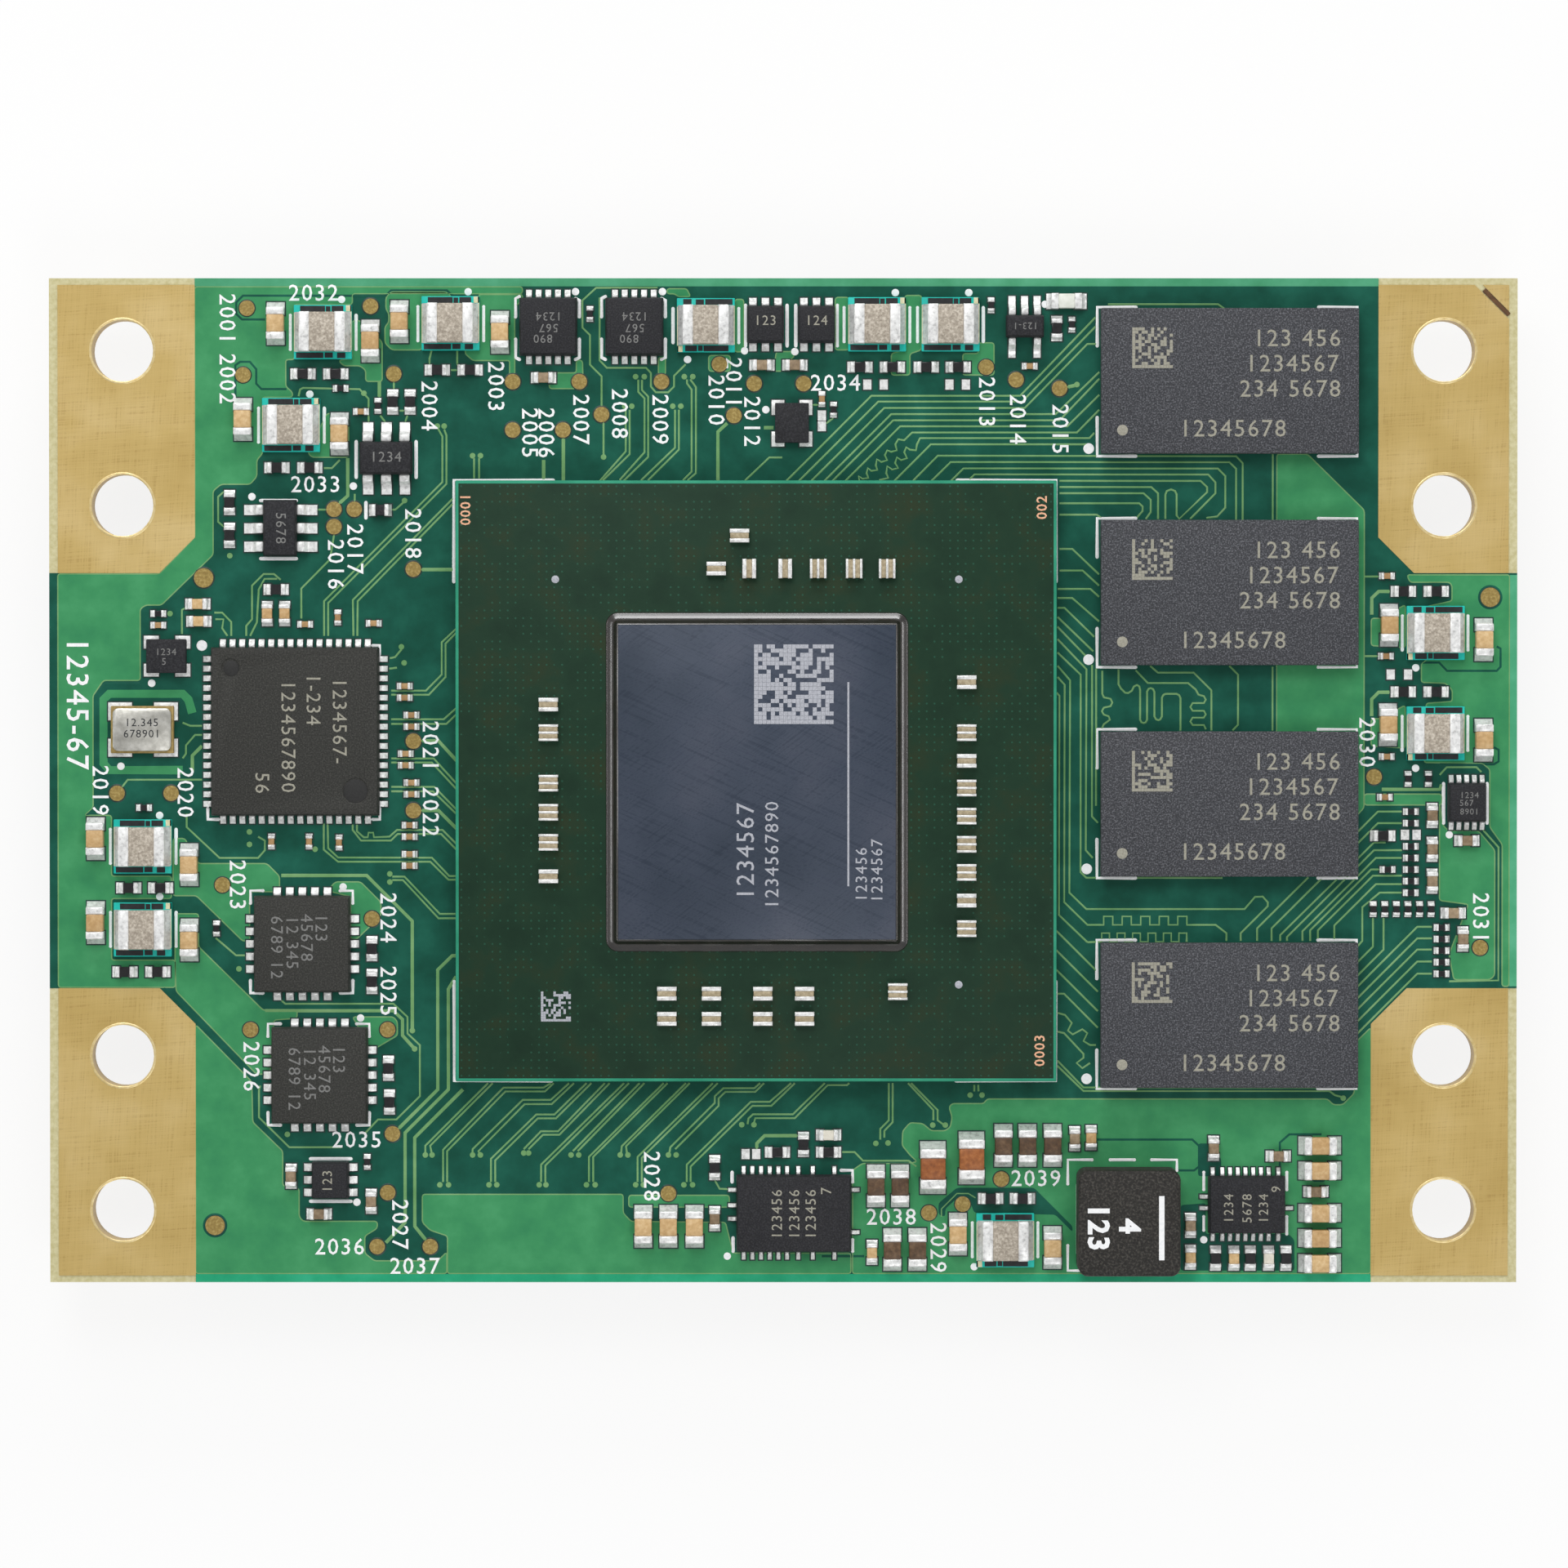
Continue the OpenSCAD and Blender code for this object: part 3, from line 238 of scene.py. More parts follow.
finishes = {
    "laminate": grainy("laminate", [(0.3, "#c3ba86"), (0.7, "#d8d1a6")], 0.25, 0.6, depth=0.01),
    "mask": maskFinish("dark mask", [(0.3, "#134c3d"), (0.5, "#185747"), (0.7, "#1f6351")]),
    "pour": maskFinish("mask over copper", [(0.3, "#38895a"), (0.5, "#40935f"), (0.7, "#4a9d68")], 0.38),
    "track": maskFinish("mask over tracks", [(0.3, "#66985f"), (0.5, "#76a56c"), (0.7, "#86b17a")], 0.4),
    # lighter strips of mask along the upper, lower and right edges, each in its own shade: the board's bare
    # edge with a painted highlight on it
    "topBand": maskFinish("mask at the upper edge with painted highlight", [(0.3, "#46976c"), (0.5, "#50a178"), (0.7, "#5bac84")]),
    "lowBand": maskFinish("mask at the lower edge with painted highlight", [(0.3, "#249a6f"), (0.5, "#2ba578"), (0.7, "#37b085")]),
    "sideBand": maskFinish("mask at the right edge with painted highlight", [(0.3, "#469f75"), (0.5, "#50a97e"), (0.7, "#5eb48c")]),
    # the margin's near-black colour is partly painted shade round the soldered ends and test pads
    "opening": grainy("bare margin with painted shade", [(0.35, "#0e2c26"), (0.7, "#18413a")], 0.2, 0.4),
    "gold": goldFinish(),
    "testGold": grainy("flash gold", [(0.3, "#8d763d"), (0.5, "#9f8749"),
        (0.7, "#b9a263")], 0.12, 0.45, 0.3, 0.01),
    "solder": solderFinish("solder", [(0.3, "#c4c4c2"), (0.42, "#e6e6e4"), (0.6, "#fdfdfb")], 0.2, 0.3),
    "ball": grainy("solder ball", [(0.3, "#9a9c9f"), (0.7, "#c9cacc")], 0.1, 0.35, 0.9),
    "substrate": substrateFinish(),
    "die": dieFinish(),
    "underfill": grainy("underfill", [(0.3, "#17130f"), (0.55, "#211b16"),
        (0.8, "#2d261f")], 0.5, 0.2, coat=1.0, specular=1.0),
    "memorySubstrate": grainy("memory carrier", [(0.3, "#24442f"), (0.7, "#33583d")], 0.3, 0.5),
    "mould": grainy("memory mould", [(0.3, "#323337"), (0.5, "#444549"),
        (0.66, "#6e6f74")], 0.08, 0.62, depth=0.012, specular=0.2),
    "clockMould": grainy("clock mould", [(0.3, "#2d2d2b"), (0.5, "#393936"),
        (0.7, "#4d4d49")], 0.08, 0.58, depth=0.012, specular=0.2),
    "chipMould": grainy("chip mould", [(0.3, "#222225"), (0.5, "#2c2c2f"),
        (0.7, "#3c3c3f")], 0.08, 0.58, depth=0.012, specular=0.2),
    "moduleBoard": maskFinish("module board", [(0.3, "#1cb3a6"), (0.5, "#25c2b3"), (0.7, "#33cdbf")]),
    "ferrite": grainy("ferrite", [(0.3, "#94897b"), (0.5, "#b3a898"),
        (0.68, "#d6ccbd")], 0.12, 0.6, depth=0.03),
    "coil": grainy("pressed iron", [(0.3, "#1f1d1b"), (0.5, "#2d2b28"),
        (0.68, "#4c4944")], 0.12, 0.6, 0.0, 0.03, specular=0.3),
    "tan": grainy("tan ceramic", [(0.3, "#c9a570"), (0.5, "#d9b681"),
        (0.7, "#e5c898")], 0.22, 0.5, depth=0.01, tone=("#e6ddd2", "#ffffff")),
    "darkCeramic": grainy("dark ceramic", [(0.3, "#4c3824"), (0.5, "#5f462e"),
        (0.7, "#745a3f")], 0.22, 0.5, depth=0.01, tone=("#e2dcd6", "#ffffff")),
    "redCeramic": grainy("red ceramic", [(0.3, "#8b4f23"), (0.5, "#a3602c"),
        (0.7, "#b7743e")], 0.25, 0.5, depth=0.01, tone=("#e6ddd6", "#ffffff")),
    "greyCeramic": grainy("grey ceramic", [(0.3, "#8f7b62"), (0.5, "#a38d70"),
        (0.7, "#b7a286")], 0.2, 0.5, depth=0.01, tone=("#cfc9c0", "#ffffff")),
    "paleCeramic": grainy("pale ceramic", [(0.3, "#d8d2c2"), (0.7, "#efe9da")], 0.2, 0.5, depth=0.01),
    "orangeCeramic": grainy("orange ceramic", [(0.3, "#ab8758"),
        (0.7, "#c7a272")], 0.2, 0.5, depth=0.01, tone=("#dcd2c6", "#ffffff")),
    "glaze": grainy("resistor glaze", [(0.3, "#1b1a1c"),
        (0.7, "#2c2a2d")], 0.2, 0.3, tone=("#d0d0d0", "#ffffff")),
    "lid": grainy("lid metal", [(0.3, "#b9b7ae"), (0.5, "#cfcdc4"), (0.7, "#e4e2da")], 0.4, 0.32, 0.8, 0.008),
    "ceramicBase": grainy("ceramic base", [(0.3, "#8f7a45"), (0.7, "#b59a5c")], 0.2, 0.5, 0.2),
    "lens": grainy("lens", [(0.3, "#d8dccf"), (0.7, "#eef0e6")], 0.3, 0.25),
    "housing": grainy("housing plastic", [(0.3, "#17171a"), (0.7, "#26262a")], 0.3, 0.5, depth=0.01),
    "contact": grainy("contact gold", [(0.3, "#c2994a"), (0.7, "#dcb869")], 0.3, 0.35, 0.8),
    "silk": grainy("legend ink", [(0.3, "#f0f3f4"), (0.6, "#ffffff")], 0.15, 0.6),
    "subCap": grainy("substrate ceramic", [(0.3, "#98896b"), (0.5, "#ab9c7e"),
        (0.7, "#c0b294")], 0.15, 0.5, depth=0.01),
    # painted highlight on the lip of each mounting hole
    "rim": grainy("painted lip highlight", [(0.3, "#d8bd7c"), (0.7, "#f0dca6")], 0.3, 0.35, 0.4),
    "faint": grainy("faint mark", [(0.3, "#6d6d6b"), (0.7, "#858583")], 0.1, 0.6),
    "copperInk": grainy("orange mark", [(0.3, "#dc9c74"), (0.7, "#f6c4a2")], 0.1, 0.6),
    "recess": grainy("mould mark", [(0.3, "#191918"), (0.7, "#262625")], 0.1, 0.6),
    "mark": grainy("pale mark", [(0.3, "#918e80"), (0.7, "#aba899")], 0.1, 0.6),
    "dieMark": grainy("laser mark", [(0.3, "#a0a2aa"), (0.7, "#c0c2ca")], 0.08, 0.6),
    "slit": grainy("slit", [(0.3, "#4a2f16"), (0.7, "#6d4a28")], 0.2, 0.5),
    "black": grainy("black ink", [(0.3, "#141618"), (0.7, "#22262a")], 0.2, 0.5),
    "cream": grainy("cream strip", [(0.3, "#c9c59c"), (0.7, "#e0dcb8")], 0.2, 0.5),
}
print("finishes ready:", len(finishes))


# pieces
def addPiece(name, mesh, finish, slot, *replaced):
    kinds = finish if isinstance(finish, list) else [finish]
    for kind in kinds:
        mesh.materials.append(finishes[kind])
    piece = bpy.data.objects.new(name, mesh)
    scene.collection.objects.link(piece)
    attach(piece, "root")
    if replaced:
        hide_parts(*replaced)
    return piece


def meshFrom(bm, name, smoothAngle=38):
    mesh = bpy.data.meshes.new(name)
    bm.to_mesh(mesh)
    bm.free()
    mesh.shade_smooth()
    mesh.set_sharp_from_angle(angle=math.radians(smoothAngle))
    return mesh


def mergedCopy(node):
    bm = bmesh.new()
    bm.from_mesh(nodes[node].data)
    bmesh.ops.remove_doubles(bm, verts=bm.verts, dist=0.0001 * mm)
    bmesh.ops.dissolve_limit(bm, angle_limit=math.radians(1), verts=bm.verts, edges=bm.edges)
    return bm


def islandsOf(bm):
    bm.faces.ensure_lookup_table()
    seen = set()
    groups = []
    for face in bm.faces:
        if face in seen:
            continue
        seen.add(face)
        stack = [face]
        group = []
        while stack:
            current = stack.pop()
            group.append(current)
            for edge in current.edges:
                for other in edge.link_faces:
                    if other not in seen:
                        seen.add(other)
                        stack.append(other)
        groups.append(group)
    return groups


def boxOf(faces):
    points = [vert.co for face in faces for vert in face.verts]
    low = Vector([min(p[i] for p in points) for i in range(3)])
    high = Vector([max(p[i] for p in points) for i in range(3)])
    return low, high


def dress(node, finish, slot, rounding, segments=2, above=0.0, special=()):
    # a copy of the CAD node with its edges rounded; special gives other finishes by place
    bm = mergedCopy(node)
    low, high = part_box(node)
    level = low.z + (high.z - low.z) * above
    edges = [edge for edge in bm.edges if len(edge.link_faces) == 2
             and edge.calc_face_angle(0) > math.radians(25)
             and min(vert.co.z for vert in edge.verts) >= level - 0.001 * mm]
    bmesh.ops.bevel(bm, geom=edges, offset=rounding * mm, offset_type="OFFSET", segments=segments,
                    profile=0.5, affect="EDGES", clamp_overlap=True, material=-1)
    tone = bm.verts.layers.float.new("tone")
    chance = random.Random(len(node))
    for group in islandsOf(bm):
        share = chance.random()
        first, last = boxOf(group)
        middle = (first + last) / 2 / mm
        index = 0
        for number, places in enumerate(special, 1):
            if any(abs(middle.x - x) < 0.5 and abs(middle.y - y) < 0.5 for x, y in places[1]):
                index = number
        for face in group:
            face.material_index = index
            for vert in face.verts:
                vert[tone] = share
    kinds = [finish] + [places[0] for places in special]
    return addPiece("dressed." + node, meshFrom(bm, node), kinds, slot, node)


def fillet(node, finish, slot):
    # the CAD slope drawn in to a hollow fillet, as resin creeps out from under a die
    bm = mergedCopy(node)
    low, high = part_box(node)
    slopes = [edge for edge in bm.edges if abs(edge.verts[0].co.z - edge.verts[1].co.z) > 0.3 * mm
              and (edge.verts[0].co.xy - edge.verts[1].co.xy).length > 0.1 * mm]
    bmesh.ops.subdivide_edges(bm, edges=slopes, cuts=7, use_grid_fill=True)
    for vert in bm.verts:
        share = (vert.co.z - low.z) / (high.z - low.z)
        vert.co.z = low.z + (high.z - low.z) * (0.45 * share + 0.55 * share ** 6)
    return addPiece("dressed." + node, meshFrom(bm, node, 60), finish, slot, node)


# the board keeps its CAD faces
for node, finish, slot in [
    ("laminate", "laminate", "laminate"), ("mask_top", "mask", "solder_mask"),
    ("mask_bottom", "mask", "solder_mask"), ("corner_pads", "gold", "gold_plating"),
    ("test_pads", "testGold", "gold_plating"), ("bare_lands", "solder", "solder"),
    ("processor_balls", "ball", "solder"), ("memory_balls", "ball", "solder"),
]:
    nodes[node].data.materials.clear()
    nodes[node].data.materials.append(finishes[finish])

# chip bodies and packages
tanChips = [(-30.3, 9.15), (-30.25, 8.25), (-26.7, 8.65), (-25.8, 8.65), (15.95, -18.5), (4.6, -24.45),
    (21.1, -24.7), (23.35, -24.75)]
for node, finish, slot, rounding, special in [
    ("processor_die", "die", "silicon", 0.05, ()),
    ("processor_substrate", "substrate", "package_substrate", 0.05, ()),
    ("processor_capacitor_bodies", "subCap", "grey_ceramic", 0.04, ()),
    ("memory_substrates", "memorySubstrate", "package_substrate", 0.02, ()),
    ("memory_molds", "mould", "mold_compound", 0.05, ()),
    ("clock_chip_body", "clockMould", "mold_compound", 0.05, ()),
    ("regulator_bodies", "clockMould", "mold_compound", 0.05, ()),
    ("converter_bodies", "chipMould", "mold_compound", 0.05, ()),
    ("switch_bodies", "chipMould", "mold_compound", 0.05, ()),
    ("driver_bodies", "chipMould", "mold_compound", 0.05, ()),
    ("transistor_bodies", "chipMould", "mold_compound", 0.05, ()),
    ("boot_memory_bodies", "chipMould", "mold_compound", 0.05, ()),
    ("module_boards", "moduleBoard", "module_board", 0.04, ()),
    ("module_inductors", "ferrite", "ferrite", 0.06, ()),
    ("power_inductor_body", "coil", "coil_body", 0.16, ()),
    ("crystal_base", "ceramicBase", "gold_ceramic", 0.04, ()),
    ("crystal_lid", "lid", "lid_metal", 0.03, ()),
    ("oscillator_bodies", "chipMould", "mold_compound", 0.05, ()),
    ("led_body", "lens", "led_lens", 0.06, ()),
    ("signal_diode_body", "chipMould", "mold_compound", 0.04, ()),
    ("capacitor_0805_bodies", "redCeramic", "red_ceramic", 0.08, ()),
    ("capacitor_0603_tan_bodies", "tan", "tan_ceramic", 0.06, ()),
    ("capacitor_0603_dark_bodies", "darkCeramic", "dark_ceramic", 0.06, ()),
    ("capacitor_0402_bodies", "greyCeramic", "grey_ceramic", 0.04,
     [("tan", tanChips), ("paleCeramic", [(25.15, -24.75), (2.35, -18.35)])]),
    ("capacitor_0201_bodies", "orangeCeramic", "tan_ceramic", 0.025, ()),
    ("resistor_0402_bodies", "glaze", "resistor_glaze", 0.02, ()),
    ("resistor_0201_bodies", "glaze", "resistor_glaze", 0.015, ()),
    ("decoupling_bodies", "greyCeramic", "grey_ceramic", 0.025, ()),
    ("connector_housings", "housing", "housing_plastic", 0.06, ()),
]:
    dress(node, finish, slot, rounding, 2, 0.0, special)

fillet("processor_underfill", "underfill", "underfill")

# solder caps, leads and contacts: only the upper edges are rounded
for node, rounding in [
    ("processor_capacitor_terminals", 0.05), ("clock_chip_leads", 0.05), ("regulator_leads", 0.05),
    ("converter_leads", 0.05), ("switch_leads", 0.05), ("driver_leads", 0.05), ("transistor_leads", 0.1),
    ("module_terminals", 0.08), ("power_inductor_terminals", 0.05), ("oscillator_lands", 0.02),
    ("diode_terminals", 0.05), ("capacitor_0805_terminals", 0.1), ("capacitor_0603_terminals", 0.09),
    ("capacitor_0402_terminals", 0.07), ("capacitor_0201_terminals", 0.04), ("resistor_0402_terminals", 0.06),
    ("resistor_0201_terminals", 0.04), ("boot_memory_leads", 0.03), ("decoupling_terminals", 0.03),
]:
    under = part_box(node)[1].z < boardTop
    dress(node, "solder", "solder", rounding, 2, 0.0 if under else 0.25)
for node in ("long_connector_contacts", "side_connector_contacts"):
    dress(node, "contact", "contact_gold", 0.015, 1)
print("CAD nodes dressed")


# copper and legend on the upper face, in mm from the board's centre
def ribbons(bm, paths, width, rise, z, closed=False):
    curve = bpy.data.curves.new("ribbon", "CURVE")
    curve.dimensions = "3D"
    curve.bevel_depth = width / 2 * mm
    curve.bevel_resolution = 1
    curve.use_fill_caps = not closed
    for path in paths:
        line = curve.splines.new("POLY")
        line.points.add(len(path) - 1)
        line.use_cyclic_u = closed
        for point, (x, y) in zip(line.points, path):
            point.co = (x * mm, y * mm, 0, 1)
    holder = bpy.data.objects.new("ribbon", curve)
    mesh = bpy.data.meshes.new_from_object(holder)
    mesh.transform(Matrix.Translation((0, 0, z)) @ Matrix.Diagonal((1, 1, 2 * rise / width, 1)))
    bm.from_mesh(mesh)
    bpy.data.objects.remove(holder)
    bpy.data.curves.remove(curve)
    bpy.data.meshes.remove(mesh)


def field(bm, outline, rise, z, rounding=0.12):
    # a flat plate with rounded corners; returns its rounded outline
    part = bmesh.new()
    corners = [part.verts.new((x * mm, y * mm, z)) for x, y in outline]
    part.faces.new(corners)
    bmesh.ops.bevel(part, geom=corners, offset=rounding * mm, offset_type="OFFSET", segments=2,
                    profile=0.5, affect="VERTICES", clamp_overlap=True, material=-1)
    rim = [(vert.co.x / mm, vert.co.y / mm) for vert in max(part.faces,
        key=lambda face: face.calc_area()).verts]
    grown = bmesh.ops.extrude_face_region(part, geom=part.faces[:])["geom"]
    bmesh.ops.translate(part, verts=[item for item in grown if isinstance(item, bmesh.types.BMVert)],
                        vec=(0, 0, rise * mm))
    bmesh.ops.recalc_face_normals(part, faces=part.faces)
    mesh = bpy.data.meshes.new("plate")
    part.to_mesh(mesh)
    part.free()
    bm.from_mesh(mesh)
    bpy.data.meshes.remove(mesh)
    return rim


def discs(bm, points, radius, rise, z, segments=12):
    for x, y in points:
        bmesh.ops.create_cone(bm, cap_ends=True, segments=segments, radius1=radius * mm,
            radius2=radius * 0.92 * mm,
                              depth=rise * mm, matrix=Matrix.Translation((x * mm, y * mm, z + rise / 2 * mm)))


def plate(bm, x0, y0, x1, y1, rise, z):
    size = Matrix.Diagonal(((x1 - x0) * mm, (y1 - y0) * mm, rise * mm, 1))
    place = Matrix.Translation(((x0 + x1) / 2 * mm, (y0 + y1) / 2 * mm, z + rise / 2 * mm))
    bmesh.ops.create_cube(bm, size=1, matrix=place @ size)


def writing(bm, text, x, y, size, turn, z, rise=0.012, bold=0.0):
    curve = bpy.data.curves.new("number", "FONT")
    curve.body = text
    curve.size = size * mm
    curve.align_x = "CENTER"
    curve.align_y = "CENTER"
    curve.offset = bold * mm
    curve.space_character = 1.12
    curve.resolution_u = 2
    curve.extrude = rise / 2 * mm
    holder = bpy.data.objects.new("number", curve)
    mesh = bpy.data.meshes.new_from_object(holder)
    mesh.transform(Matrix.Translation((x * mm, y * mm,
        z + rise / 2 * mm)) @ Matrix.Rotation(math.radians(turn), 4, "Z"))
    bm.from_mesh(mesh)
    bpy.data.objects.remove(holder)
    bpy.data.curves.remove(curve)
    bpy.data.meshes.remove(mesh)


